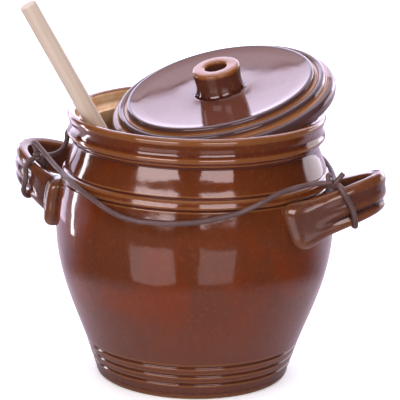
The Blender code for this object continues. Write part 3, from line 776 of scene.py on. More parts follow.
@dataclass
class CrockBody:
    """The thrown jar, from its foot to its lipped mouth."""

    foot_radius: float = 0.0535
    foot_edge_radius: float = 0.0570
    foot_edge_height: float = 0.0040
    band_top_radius: float = 0.0630
    band_top_height: float = 0.0216
    band_pitch: float = 0.0056
    band_count: int = 3
    groove_depth: float = 0.0009
    groove_half: float = 0.0014
    belly_radius: float = 0.0813
    belly_height: float = 0.0920
    shoulder_radius: float = 0.0775
    shoulder_height: float = 0.1215
    ring_height: float = 0.0056
    ring_proud: float = 0.0011
    ring_groove_depth: float = 0.0006
    ring_groove_half: float = 0.0008
    neck_radius: float = 0.0712
    neck_drop: float = 0.0178
    collar_radius: float = 0.0750
    collar_hollow: float = 0.0013
    bead_drop: float = 0.0128
    bead_height: float = 0.0034
    rim_height: float = 0.1580
    rim_wall: float = 0.0050
    body_wall: float = 0.0055
    floor_thickness: float = 0.0070
    floor_fillet: float = 0.0120
    mouth_depth: float = 0.0077
    ledge_width: float = 0.0053
    ledge_fall: float = 0.0015
    ledge_edge: float = 0.0012
    throat_drop: float = 0.0145
    turn_sides: int = 160

    def relief(self, height: float) -> float:
        """How far the turned grooves and the shoulder ring move the side in or out at a height.

        Args:
            height: Height on the side.

        Returns:
            The change of radius.
        """
        change = 0.0
        for i in range(self.band_count):
            middle = self.band_top_height - i * self.band_pitch
            change -= self.groove_depth * hump(abs(height - middle) / self.groove_half)
        half = self.ring_height / 2
        off = abs(height - self.shoulder_height) / half
        if off < 1.0:
            change += self.ring_proud * (1 - off**4)
        for side in (-1, 1):
            middle = self.shoulder_height + side * (half + 0.4 * self.ring_groove_half)
            change -= self.ring_groove_depth * hump(abs(height - middle) / self.ring_groove_half)
        return change

    def side(self) -> Outline:
        """The outside from the foot's edge to the neck.

        Returns:
            The points, close together where the side is worked.
        """
        half = self.ring_height / 2
        foot = (self.foot_edge_radius, self.foot_edge_height)
        band = (self.band_top_radius + 0.0004, self.band_top_height + self.groove_half)
        belly = (self.belly_radius, self.belly_height)
        low_ring = (self.shoulder_radius + 0.0008, self.shoulder_height - half)
        high_ring = (self.shoulder_radius - 0.0010, self.shoulder_height + half)
        neck = (self.neck_radius, self.rim_height - self.neck_drop)
        lower, upper, fall = belly[1] - band[1], low_ring[1] - belly[1], neck[1] - high_ring[1]
        points = straight(foot, band, 90)
        points += curve(band, (0.0080, 0.31 * lower), (0.0, -0.40 * lower), belly, 44)
        points += curve(belly, (0.0, 0.42 * upper), (0.0011, -0.28 * upper), low_ring, 60)
        points += straight(low_ring, high_ring, 28)
        points += curve(high_ring, (-0.0010, 0.30 * fall), (0.0012, -0.40 * fall), neck, 36)
        return [(radius + self.relief(height), height) for radius, height in points]

    def collar(self) -> Outline:
        """The outside of the collar: step, bead, hollow and the start of the lip.

        Returns:
            The points.
        """
        bead = self.rim_height - self.bead_drop
        half = self.bead_height / 2
        hollow = self.collar_radius - self.collar_hollow
        corners = [
            (self.neck_radius, self.rim_height - self.neck_drop, 0.0),
            (self.neck_radius + 0.0003, bead - half - 0.0026, 0.0006),
            (self.collar_radius - 0.0017, bead - half - 0.0012, 0.0006),
            (self.collar_radius - 0.0016, bead - half, 0.0004),
            (self.collar_radius, bead - 0.5 * half, 0.0007),
            (self.collar_radius, bead + 0.6 * half, 0.0007),
            (hollow, bead + 1.9 * half, 0.0016),
            (hollow, self.rim_height - 1.5 * self.rim_wall + 0.0010, 0.0020),
            (self.collar_radius, self.rim_height - self.rim_wall / 2, 0.0),
        ]
        return eased(corners, steps=8)

    def ledge_centre(self) -> Pair:
        """Centre of the round inner edge of the ledge in the mouth."""
        radius = self.collar_radius - self.rim_wall - self.ledge_width + self.ledge_edge
        return radius, self.rim_height - self.mouth_depth - self.ledge_fall - self.ledge_edge

    def throat(self) -> Pair:
        """Where the mouth ends and the inside widens."""
        return self.ledge_centre()[0] - self.ledge_edge + 0.0004, self.rim_height - self.throat_drop

    def mouth(self) -> Outline:
        """The inside from the lip over the ledge to the throat.

        Returns:
            The points.
        """
        wall = self.collar_radius - self.rim_wall
        edge = arc(self.ledge_centre(), self.ledge_edge, 75, 180, 12)
        corners = [
            (wall, self.rim_height - self.rim_wall / 2, 0.0),
            (wall, self.rim_height - self.mouth_depth, 0.0018),
            (*edge[0], 0.0),
        ]
        return eased(corners, steps=10)[1:] + edge[1:] + [self.throat()]

    def inside(self) -> Outline:
        """The inside from the throat to the floor.

        Returns:
            The points.
        """
        throat = self.throat()
        shoulder = (self.shoulder_radius - self.body_wall, self.shoulder_height)
        belly = (self.belly_radius - self.body_wall, self.belly_height)
        foot = (self.band_top_radius - self.body_wall - 0.0022, self.floor_thickness + self.floor_fillet)
        floor = (foot[0] - self.floor_fillet, self.floor_thickness)
        fall, rise, drop = shoulder[1] - throat[1], belly[1] - shoulder[1], belly[1] - foot[1]
        fillet = self.floor_fillet
        points = curve(throat, (0.0004, 0.35 * fall), (-0.0022, -0.30 * fall), shoulder, 14)
        points += curve(shoulder, (0.0030, 0.3 * rise), (0.0, -0.4 * rise), belly, 10)
        points += curve(belly, (0.0, -0.40 * drop), (0.0080, 0.31 * drop), foot, 24)
        points += curve(foot, (-0.0020, -0.6 * fillet), (0.5 * fillet, 0.0), floor, 12)
        points.append((0.5 * foot[0], self.floor_thickness + 0.0003))
        return points

    def build(self, glaze: Finish) -> Piece:
        """Throws the jar and gives it its glaze.

        Args:
            glaze: Its finish.

        Returns:
            The piece.
        """
        start = (self.foot_radius, 0.0)
        edge = (self.foot_edge_radius, self.foot_edge_height)
        leave = (0.6 * (self.foot_edge_radius - self.foot_radius), 0.0)
        foot = [start] + curve(start, leave, (0.0, -0.6 * self.foot_edge_height), edge, 10)
        lip = (self.collar_radius - self.rim_wall / 2, self.rim_height - self.rim_wall / 2)
        outline = foot + self.side() + self.collar()[1:] + arc(lip, self.rim_wall / 2, 0, 180, 20)[1:]
        liner_from = len(outline) - 4
        outline += self.mouth() + self.inside()
        piece = spun("glazed_jar", outline, self.turn_sides, liner_from)
        return dress(piece, glaze, Body.CROCK, "crock_body")


@dataclass
class StrapHandle:
    """A pulled strap with two flutes, luted to the jar on a pad at each end.

    It is drawn on the +X side and then turned. Its main root is the one at -Y before that turn, if
    main_root is -1, or the one at +Y, if it is 1.
    """

    name: str
    node: str
    width: float
    rise: float
    turn: float
    belly_radius: float = 0.0813
    belly_height: float = 0.0920
    wall_curve: float = 4.4
    end_depth: float = 0.0028
    reach: float = 0.1159
    half_spread: float = 0.0326
    root_in: float = 0.0103
    root_run: float = 0.0120
    apex_run: float = 0.0190
    root_height: float = 0.1035
    tilt: float = math.radians(1.0)
    squareness: float = 5.0
    edge_share: float = 0.10
    crown_share: float = 0.40
    back_half: float = 0.42
    back_share: float = 0.50
    back_fall: float = 0.10
    face_steps: int = 36
    back_steps: int = 8
    main_root: int = -1
    lesser_flare: float = 0.4
    end_round: float = 0.105
    end_share: float = 0.42
    thickness: float = 0.0080
    upper_flute: float = 0.0006
    lower_flute: float = 0.0016
    flute_fade: float = 0.14
    root_flare: float = 1.32
    root_bulge: float = 0.0030
    root_length: float = 0.22
    stations: int = 144
    pad_height: float = 0.0210
    pad_width: float = 0.0130
    pad_thick: float = 0.0062
    pad_sunk: float = 0.0035
    pad_azimuth: float = math.radians(18.6)
    pad_middle: float = 0.1030
    lesser_height: float = 0.0215
    lesser_width: float = 0.0130
    lesser_azimuth: float = math.radians(18.6)
    pad_round: float = 0.0046
    pad_slope: float = 0.0006
    pad_taper: float = 0.20
    pad_cuts: int = 6
    pad_long_edge: float = 0.004
    skin: float = 0.00055
    skin_passes: int = 14
    glaze_passes: int = 16
    glaze_depth: float = 0.00034

    def path(self) -> list[Vector]:
        """Middle line of the strap before its turn, from the root at -Y to the root at +Y.

        Returns:
            The points.
        """
        far = self.reach - self.thickness / 2
        root = (self.belly_radius - self.root_in, -self.half_spread)
        steps = self.stations // 2
        half = [root] + curve(root, (self.root_run, 0.0), (0.0, -self.apex_run), (far, 0.0), steps)
        whole = half + [(x, -y) for x, y in reversed(half[:-1])]
        slope = self.rise / (far - root[0])
        return [Vector((x, y, self.root_height + slope * (x - root[0]))) for x, y in whole]

    def section(self, width: float, thickness: float, worked: float) -> Outline:
        """Outward and upward places round the strap's section.

        Args:
            width: The strap's width here.
            thickness: Its thickness here.
            worked: Share of the flutes' full depth.

        Returns:
            The places, in order round the section.
        """
        # Each flute's middle and half width are shares of the strap's width.
        flutes = ((-0.20, 0.135, self.lower_flute), (0.17, 0.16, self.upper_flute))
        places = []
        for i in range(self.face_steps + 1):
            across = -0.5 + i / self.face_steps
            edge = 1.0 - abs(2 * across) ** self.squareness
            dent = sum(depth * hump(abs(across - middle) / half) for middle, half, depth in flutes)
            outward = thickness * (self.edge_share + self.crown_share * edge) - dent * worked
            places.append((outward, across * width))
        for i in range(self.back_steps + 1):
            across = self.back_half - 2 * self.back_half * i / self.back_steps
            inward = thickness * (self.back_share - self.back_fall * abs(2 * across) ** 4)
            places.append((-inward, across * width))
        return places

    def wall(self, height: float) -> float:
        """Radius of the jar's side near the roots at a height."""
        return self.belly_radius - self.wall_curve * (height - self.belly_height) ** 2

    def seated(self, spot: Vector) -> Vector:
        """A point of a strap's end, moved along X until it lies just inside the jar's wall."""
        inside = self.wall(spot.z) - self.end_depth
        return Vector((math.sqrt(inside**2 - spot.y**2), spot.y, spot.z))

    def strap(self) -> Piece:
        """Draws the strap along its path, without its pads.

        Returns:
            The strap.
        """
        points = self.path()
        last = len(points) - 1
        shape = bmesh.new()
        before = []
        for i, point in enumerate(points):
            along = (points[min(i + 1, last)] - points[max(i - 1, 0)]).normalized()
            outward, up = across_strap(along, self.tilt)
            share = i / last
            from_end = min(share, 1 - share)
            near = max(0.0, 1 - from_end / self.root_length)
            flare = near * near * (3 - 2 * near)
            worked = min(1.0, max(0.0, (from_end - self.flute_fade) / self.flute_fade))
            main = (share < 0.5) == (self.main_root < 0)
            widening = (self.root_flare - 1) * flare * (1.0 if main else self.lesser_flare)
            begun = min(1.0, from_end / self.end_round)
            swell = math.sqrt(1 - (1 - begun) ** 2)
            width = self.width * (1 + widening) * (self.end_share + (1 - self.end_share) * swell)
            places = self.section(width, self.thickness + self.root_bulge * flare, worked)
            places = [(a * swell if a > 0.0 else a, b) for a, b in places]
            middle = point + outward * 0.5 * self.root_bulge * flare
            spots = [middle + outward * a + up * b for a, b in places]
            if i in (0, last):
                spots = [self.seated(spot) for spot in spots]
            ring = [shape.verts.new(spot) for spot in spots]
            loop = [shape.edges.new(pair) for pair in zip(ring, ring[1:] + ring[:1])]
            if before:
                bmesh.ops.bridge_loops(shape, edges=before + loop)
            before = loop
        capped(shape)
        return finished(self.name, shape)

    def pad(self, side: int) -> Piece:
        """A rounded tab of clay pressed on the jar's side under one end of the strap.

        Args:
            side: -1 for the root at -Y before the turn and 1 for the one at +Y.

        Returns:
            The pad.
        """
        main = side == self.main_root
        width = self.pad_width if main else self.lesser_width
        height = self.pad_height if main else self.lesser_height
        azimuth = side * (self.pad_azimuth if main else self.lesser_azimuth)
        depth = self.pad_thick + self.pad_sunk
        shape = block((depth, width, height))
        rounded(shape, list(shape.edges), min(self.pad_round, 0.47 * depth))
        long = [edge for edge in shape.edges if edge.calc_length() > self.pad_long_edge]
        bmesh.ops.subdivide_edges(shape, edges=long, cuts=self.pad_cuts, use_grid_fill=True)
        middle = self.belly_radius - self.pad_sunk + depth / 2
        for vert in shape.verts:
            drop = vert.co.z / (0.5 * height)
            radius = middle + vert.co.x - self.belly_radius + self.wall(self.pad_middle + vert.co.z)
            radius -= self.pad_slope * max(0.0, drop) ** 2
            narrowed = 1 - self.pad_taper * min(0.0, drop) ** 2
            angle = azimuth + vert.co.y * narrowed / self.belly_radius
            vert.co = polar(radius, angle, self.pad_middle + vert.co.z)
        return finished(f"{self.name}_pad", shape)

    def build(self, glaze: Finish) -> Piece:
        """Joins strap and pads, melds them and puts them on their side of the jar.

        Args:
            glaze: Its finish.

        Returns:
            The piece.
        """
        piece = self.strap()
        for side in (-1, 1):
            joined(piece, self.pad(side), "UNION")
        softened(piece, self.skin, self.skin_passes)
        thickness_on_skin(piece, self.glaze_passes, self.glaze_depth)
        piece.data.transform(Matrix.Rotation(self.turn, 4, "Z"))
        return dress(piece, glaze, Body.CROCK, self.node)


@dataclass
class Lid:
    """The stepped lid that lies ajar, and its frame in the world."""

    radius: float = 0.0667
    skirt_drop: float = 0.0048
    outer_inset: float = 0.0051
    outer_height: float = 0.0054
    inner_inset: float = 0.0110
    inner_height: float = 0.0084
    crest: float = 0.0021
    panel_height: float = 0.0076
    panel_wall: float = 0.0056
    bearing_width: float = 0.0070
    knob_seat: float = 0.0168
    tilt: float = math.radians(17.1)
    low_side: float = math.radians(245.3)
    offset: Pair = (0.0086, 0.0186)
    edge_reach: float = 0.0024
    edge_depth: float = 0.00075
    turn_sides: int = 160

    def outline(self) -> Outline:
        """Half section from under the knob over both rings to the hollow underside.

        Returns:
            The points.
        """
        edge = self.radius
        outer = edge - self.outer_inset
        inner = edge - self.inner_inset
        panel_edge = (inner - 0.0100, self.panel_height + 0.0010)
        ring_foot = (inner - 0.0034, self.inner_height + 0.62 * self.crest)
        seat = (self.knob_seat, self.panel_height)
        panel = [(0.5 * self.knob_seat, self.panel_height), seat]
        panel += curve(seat, (0.009, -0.0003), (-0.010, -0.0008), panel_edge, 30)
        panel += curve(panel_edge, (0.0030, 0.00025), (-0.0018, -0.20 * self.crest), ring_foot, 16)
        corners = [
            (*ring_foot, 0.0),
            (inner - 0.0019, self.inner_height + 0.88 * self.crest, 0.0011),
            (inner - 0.0003, self.inner_height + 0.66 * self.crest, 0.0014),
            (inner + 0.0002, self.inner_height - 0.0008, 0.0014),
            (inner + 0.0002, self.inner_height - 0.0019, 0.0005),
            (inner + 0.0019, self.inner_height - 0.0022, 0.0009),
            (outer - 0.0036, self.outer_height + 0.80 * self.crest, 0.0010),
            (outer - 0.0018, self.outer_height + 1.12 * self.crest, 0.0012),
            (outer - 0.0002, self.outer_height + 0.80 * self.crest, 0.0014),
            (outer + 0.0003, self.outer_height - 0.0006, 0.0014),
            (outer + 0.0004, self.outer_height - 0.0018, 0.0005),
            (outer + 0.0020, self.outer_height - 0.0021, 0.0009),
            (edge - 0.0010, 0.0028, 0.0012),
            (edge, 0.0008, 0.0014),
            (edge, -0.0014, 0.0012),
            (edge - 0.0004, -self.skirt_drop + 0.0004, 0.0008),
            (edge - 0.0020, -self.skirt_drop, 0.0010),
            (edge - self.bearing_width, -self.skirt_drop, 0.0010),
            (edge - self.bearing_width - 0.0016, -0.4 * self.skirt_drop, 0.0015),
            (inner - 0.0022, self.panel_height - self.panel_wall - 0.0008, 0.0020),
            (panel_edge[0], self.panel_height - self.panel_wall - 0.0004, 0.0020),
            (self.knob_seat, self.panel_height - self.panel_wall, 0.0),
        ]
        return panel + eased(corners, steps=7)[1:]

    def place(self) -> Matrix:
        """Frame of the ajar lid: its tilt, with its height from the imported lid's lowest point.

        Returns:
            The lid's matrix.
        """
        to_low = polar(1.0, self.low_side)
        turn = Matrix.Rotation(self.tilt, 4, Vector((-to_low.y, to_low.x, 0.0)))
        below = [(radius, level) for radius, level in self.outline() if level < 0.0]
        lowest = min(level * math.cos(self.tilt) - radius * math.sin(self.tilt) for radius, level in below)
        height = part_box("lid")[0].z - lowest
        return Matrix.Translation(Vector((*self.offset, height))) @ turn

    def build(self, glaze: Finish) -> Piece:
        """Turns the lid and lays it ajar.

        Args:
            glaze: Its finish.

        Returns:
            The piece.
        """
        measures = {"reach": self.edge_reach, "depth": self.edge_depth}
        piece = spun("stepped_lid", self.outline(), self.turn_sides, **measures)
        piece.data.transform(self.place())
        return dress(piece, glaze, Body.LID, "lid")


@dataclass
class Knob:
    """The hollow thrown knob on the lid."""

    radius: float = 0.0140
    height: float = 0.0150
    edge: float = 0.0016
    flare: float = 0.0024
    waist_height: float = 0.0042
    waist_inset: float = 0.0005
    bore_radius: float = 0.0064
    bore_depth: float = 0.0120
    sunk: float = 0.0004
    turn_sides: int = 96

    def outline(self) -> Outline:
        """Half section from the flared foot over the top into the bore.

        Returns:
            The points.
        """
        top = (self.radius, self.height - self.edge)
        foot = (self.radius + self.flare, -self.sunk)
        waist = (self.radius - self.waist_inset, self.waist_height)
        lip = 0.7 * self.edge
        floor = self.height - self.bore_depth
        points = [(0.7 * self.radius, -self.sunk), foot]
        points += curve(foot, (0.0010 - self.flare, 0.0002 + self.sunk), (0.0003, -0.0028), waist, 12)
        points += curve(waist, (-0.0003, 0.0028), (0.0, -0.0030), top, 8)
        points += arc((self.radius - self.edge, top[1]), self.edge, 0, 90, 10)[1:]
        points += arc((self.bore_radius + lip, self.height - lip), lip, 90, 180, 8)
        corners = [
            (self.bore_radius, self.height - lip - 0.0006, 0.0),
            (self.bore_radius, floor + 0.0003, 0.0012),
            (0.4 * self.bore_radius, floor, 0.0),
        ]
        return points + eased(corners)

    def build(self, glaze: Finish, lid: Lid) -> Piece:
        """Turns the knob and sets it on the lid.

        Args:
            glaze: Its finish.
            lid: The lid that carries it.

        Returns:
            The piece.
        """
        piece = spun("thrown_knob", self.outline(), self.turn_sides)
        piece.data.transform(lid.place() @ Matrix.Translation((0.0, 0.0, lid.panel_height)))
        return dress(piece, glaze, Body.LID, "lid_knob")


@dataclass
class PickleFork:
    """A round dowel sawn into two pointed tines, which leans in the mouth."""

    radius: float = 0.0050
    length: float = 0.2485
    slot_width: float = 0.0030
    slot_length: float = 0.0600
    slot_start: float = 0.0015
    slot_turn: float = math.radians(45.0)
    point_length: float = 0.0120
    lean: float = math.radians(29.65)
    side: float = math.radians(224.0)
    foot: Point = (0.0150, 0.0145, 0.0084)
    turn_sides: int = 48

    def place(self) -> Matrix:
        """Frame of the leaning fork, from its foot."""
        turn = Matrix.Rotation(self.side, 4, "Z") @ Matrix.Rotation(self.lean, 4, "Y")
        return Matrix.Translation(Vector(self.foot)) @ turn

    def saw(self) -> Piece:
        """The block that cuts the slot, with a round inner end.

        Returns:
            The block.
        """
        shape = block((self.slot_width, 4 * self.radius, self.slot_length))
        high = [edge for edge in shape.edges if all(vert.co.z > 0 for vert in edge.verts)]
        ends = [edge for edge in high if abs(edge.verts[0].co.x - edge.verts[1].co.x) < 1e-6]
        rounded(shape, ends, 0.49 * self.slot_width)
        up = (0.0, 0.0, 0.5 * self.slot_length - self.slot_start)
        bmesh.ops.translate(shape, vec=up, verts=shape.verts)
        cutter = finished("slot_saw", shape)
        cutter.data.transform(Matrix.Rotation(self.slot_turn, 4, "Z"))
        return cutter

    def build(self, wood: WoodFinish) -> Piece:
        """Turns the dowel, saws its slot and leans it in the mouth.

        Args:
            wood: Its finish.

        Returns:
            The piece.
        """
        corners = [
            (0.45 * self.radius, 0.0, 0.0),
            (0.8 * self.radius, 0.45 * self.point_length, 0.0020),
            (self.radius, self.point_length, 0.0040),
            (self.radius, self.length, 0.0009),
            (0.3 * self.radius, self.length, 0.0),
        ]
        piece = spun("wooden_fork", eased(corners, steps=8), self.turn_sides)
        joined(piece, self.saw(), "DIFFERENCE")
        piece.data.shade_smooth()
        piece.data.set_sharp_from_angle(angle=math.radians(40.0))
        place = self.place()
        piece.data.transform(place)
        return dress(piece, wood.material(place.to_3x3()), Body.FORK, "pickle_fork")


@dataclass
class LeatherCord:
    """The round leather cord: two strands between the handles and a hitch on each strap.

    The bight, the tail and both ends of each strand are given as places in metres. The rest of a strand
    lies on the jar and is given by degrees round the axis and height.
    """

    jar: CrockBody
    left: StrapHandle
    right: StrapHandle
    radius: float = 0.0015
    lift: float = 0.0006
    step: float = 0.0012
    knot_step: float = 0.0006
    knot_radius: float = 0.0030
    coil_turns: float = 1.9
    coil_radius: float = 0.0018
    coil_climb: float = 0.0022
    coil_steps: int = 44
    coil_cord: float = 0.9
    seat_gap: float = 0.0003
    knot_inward: float = 0.0010
    slant: float = math.radians(20)
    lean: float = math.radians(6.0)
    right_share: float = 0.2917
    left_share: float = 0.7639
    left_drift: float = 0.0030
    right_drift: float = 0.0023
    front_length: float = 0.234
    back_length: float = 0.301
    left_wrap_length: float = 0.064
    right_wrap_length: float = 0.068

    FRONT_LEFT_END = (
        (-0.0918, -0.0254, 0.1302), (-0.0925, -0.0257, 0.1324), (-0.0917, -0.0265, 0.1338),
        (-0.0896, -0.0278, 0.1334), (-0.0862, -0.0299, 0.1318), (-0.0814, -0.0331, 0.1296),
        (-0.0758, -0.0377, 0.1276), (-0.0685, -0.0446, 0.1259), (-0.0611, -0.0515, 0.1248),
    )
    FRONT_REST = (
        (-131.0, 0.1240), (-121.0, 0.1220), (-113.5, 0.1193), (-103.0, 0.1145),
        (-93.0, 0.1118), (-81.0, 0.1115), (-73.0, 0.1121), (-65.0, 0.1133),
        (-57.0, 0.1154), (-49.0, 0.1178), (-43.5, 0.1206),
    )
    FRONT_RIGHT_END = (
        (0.0632, -0.0518, 0.1230), (0.0692, -0.0456, 0.1268),
        (0.0764, -0.0378, 0.1294), (0.0842, -0.0301, 0.1308),
    )
    BACK_LEFT_END = (
        (-0.0841, -0.0252, 0.1266), (-0.0805, -0.0205, 0.1272), (-0.0785, -0.0157, 0.1295),
        (-0.0775, -0.0127, 0.1338), (-0.0784, -0.0093, 0.1385), (-0.0779, 0.0010, 0.1410),
        (-0.0747, 0.0150, 0.1414),
    )
    BACK_REST = (
        (157.0, 0.1400), (140.0, 0.1390), (118.0, 0.1385), (95.0, 0.1370), (75.0, 0.1340),
        (58.0, 0.1286), (42.0, 0.1232), (27.0, 0.1186), (12.0, 0.1172),
    )
    BACK_RIGHT_END = ((0.0822, 0.0015, 0.1188), (0.0856, -0.0092, 0.1245), (0.0890, -0.0163, 0.1290))
    RIGHT_BIGHT = (
        (0.0965, -0.0200, 0.1283), (0.0949, -0.0210, 0.1280), (0.0932, -0.0224, 0.1285),
        (0.0918, -0.0236, 0.1302), (0.0909, -0.0240, 0.1325), (0.0905, -0.0236, 0.1342),
        (0.0903, -0.0222, 0.1349), (0.0902, -0.0205, 0.1340),
    )
    RIGHT_TAIL = (
        (0.0935, -0.0215, 0.1286), (0.0941, -0.0216, 0.1302), (0.0953, -0.0208, 0.1322),
        (0.0966, -0.0200, 0.1343), (0.0979, -0.0192, 0.1362),
    )

    def side_radius(self, height: float) -> float:
        """Largest outside radius of the jar within the cord's own thickness of a height."""
        outline = self.jar.side() + self.jar.collar()[1:]
        return max(radius for radius, level in outline if abs(level - height) <= self.radius)

    def resting(self, places: tuple[Pair, ...]) -> list[Vector]:
        """Middle line of a strand where it lies on the jar."""
        out = self.radius + self.lift
        return [polar(self.side_radius(level) + out, math.radians(angle), level) for angle, level in places]

    def on_strap(self, handle: StrapHandle, share: float) -> tuple[Vector, Vector, Vector]:
        """A strap's middle, outward and upward directions at a share of its length.

        Args:
            handle: The strap.
            share: Share of its length from its root at -Y before its turn.

        Returns:
            The point and both directions.
        """
        points = handle.path()
        place = share * (len(points) - 1)
        index = int(place)
        point = points[index].lerp(points[index + 1], place - index)
        along = (points[index + 1] - points[index - 1]).normalized()
        outward, up = across_strap(along, self.lean)
        turn = Matrix.Rotation(handle.turn, 3, "Z")
        return turn @ point, turn @ outward, turn @ up

    def knot_place(self, handle: StrapHandle, share: float) -> Vector:
        """Middle of the knot on a strap's upper edge."""
        point, outward, up = self.on_strap(handle, share)
        return point + up * (handle.width / 2 + self.seat_gap + self.knot_radius) - outward * self.knot_inward

    def wrap_route(self, handle: StrapHandle, share: float, drift: float) -> list[Vector]:
        """One turn of cord round a strap, out of one side of its knot and back into the other.

        Args:
            handle: The strap.
            share: Where along it the turn lies.
            drift: How far along the strap the turn slants under it.

        Returns:
            The route's points.
        """
        point, outward, up = self.on_strap(handle, share)
        knot = self.knot_place(handle, share)
        half = handle.width / 2
        side = handle.thickness / 2 + self.radius + self.lift
        leave = outward * math.cos(self.slant) - up * math.sin(self.slant)
        enter = -outward * math.cos(self.slant) - up * math.sin(self.slant)
        face = self.knot_radius + self.seat_gap
        run = face + 2 * self.radius
        low = -half - self.radius - self.lift
        turned = (
            (1.06 * side, 0.72 * half, 0.25),
            (side, 0.35 * half, 0.60),
            (side, 0.0, 0.85),
            (0.97 * side, -0.52 * half, 0.75),
            (0.76 * side, -0.80 * half, 0.65),
            (0.36 * side, low + 0.0021, 0.62),
            (-0.15 * side, low + 0.0020, 0.58),
            (-0.64 * side, low + 0.0036, 0.52),
            (-0.95 * side, -0.58 * half, 0.45),
            (-side, 0.0, 0.30),
            (-side, 0.35 * half, 0.15),
            (-1.06 * side, 0.72 * half, 0.0),
        )
        along = up.cross(outward)
        around = [point + outward * a + up * b + along * drift * c for a, b, c in turned]
        return [knot + leave * face, knot + leave * run] + around + [knot + enter * run, knot + enter * face]

    def strand(self, start: Vector, first: tuple, rest: tuple, last: tuple, end: Vector) -> list[Vector]:
        """A strand's whole route, from the face of one knot to the face of the next.

        Args:
            start: Middle of the first knot.
            first: Free points after it.
            rest: Where the strand lies on the jar.
            last: Free points before the last knot.
            end: Middle of the last knot.

        Returns:
            The route's points.
        """
        route = [Vector(place) for place in first] + self.resting(rest) + [Vector(place) for place in last]
        face = self.knot_radius + self.seat_gap
        leaves = start + (route[0] - start).normalized() * face
        arrives = end + (route[-1] - end).normalized() * face
        return [leaves] + route + [arrives]

    def coil(self, centre: Vector) -> list[Vector]:
        """Middle line of a tight coil of cord, round the strands where they meet.

        Args:
            centre: Middle of the knot.

        Returns:
            The points.
        """
        line = []
        for i in range(self.coil_steps + 1):
            angle = math.tau * self.coil_turns * i / self.coil_steps
            height = self.coil_climb * (i / self.coil_steps - 0.5) * self.coil_turns
            line.append(centre + polar(self.coil_radius, angle, height))
        return line

    def build(self, leather: Finish) -> None:
        """Draws both knots, the tail, both strands and both turns round the straps.

        Args:
            leather: Their finish.
        """
        left_knot = self.knot_place(self.left, self.left_share)
        right_knot = self.knot_place(self.right, self.right_share)
        bight = smooth_line([Vector(place) for place in self.RIGHT_BIGHT], self.knot_step)
        tail = smooth_line([Vector(place) for place in self.RIGHT_TAIL], self.knot_step)
        knots = []
        for name, node, line, radius in (
            ("hitch_left", "cord_knot_left", self.coil(left_knot), self.coil_cord * self.radius),
            ("hitch_right", "cord_knot_right", bight, self.radius),
            ("cord_end", "cord_tail", tail, self.radius),
        ):
            knots.append(dress(swept_cord(name, line, radius), leather, Body.CROCK, node))
        front = self.strand(left_knot, self.FRONT_LEFT_END, self.FRONT_REST, self.FRONT_RIGHT_END, right_knot)
        back = self.strand(left_knot, self.BACK_LEFT_END, self.BACK_REST, self.BACK_RIGHT_END, right_knot)
        turn_left = self.wrap_route(self.left, self.left_share, self.left_drift)
        turn_right = self.wrap_route(self.right, self.right_share, self.right_drift)
        for name, node, route, length, lay, fixed in (
            ("front_strand", "cord_front", front, self.front_length, "hanging", knots),
            ("back_strand", "cord_back", back, self.back_length, "loose", knots),
            ("left_turn", "cord_wrap_left", turn_left, self.left_wrap_length, "taut", []),
            ("right_turn", "cord_wrap_right", turn_right, self.right_wrap_length, "taut", []),
        ):
            line = smooth_line(route, self.step)
            piece = dress(swept_cord(name, line, self.radius), leather, Body.CROCK, node)


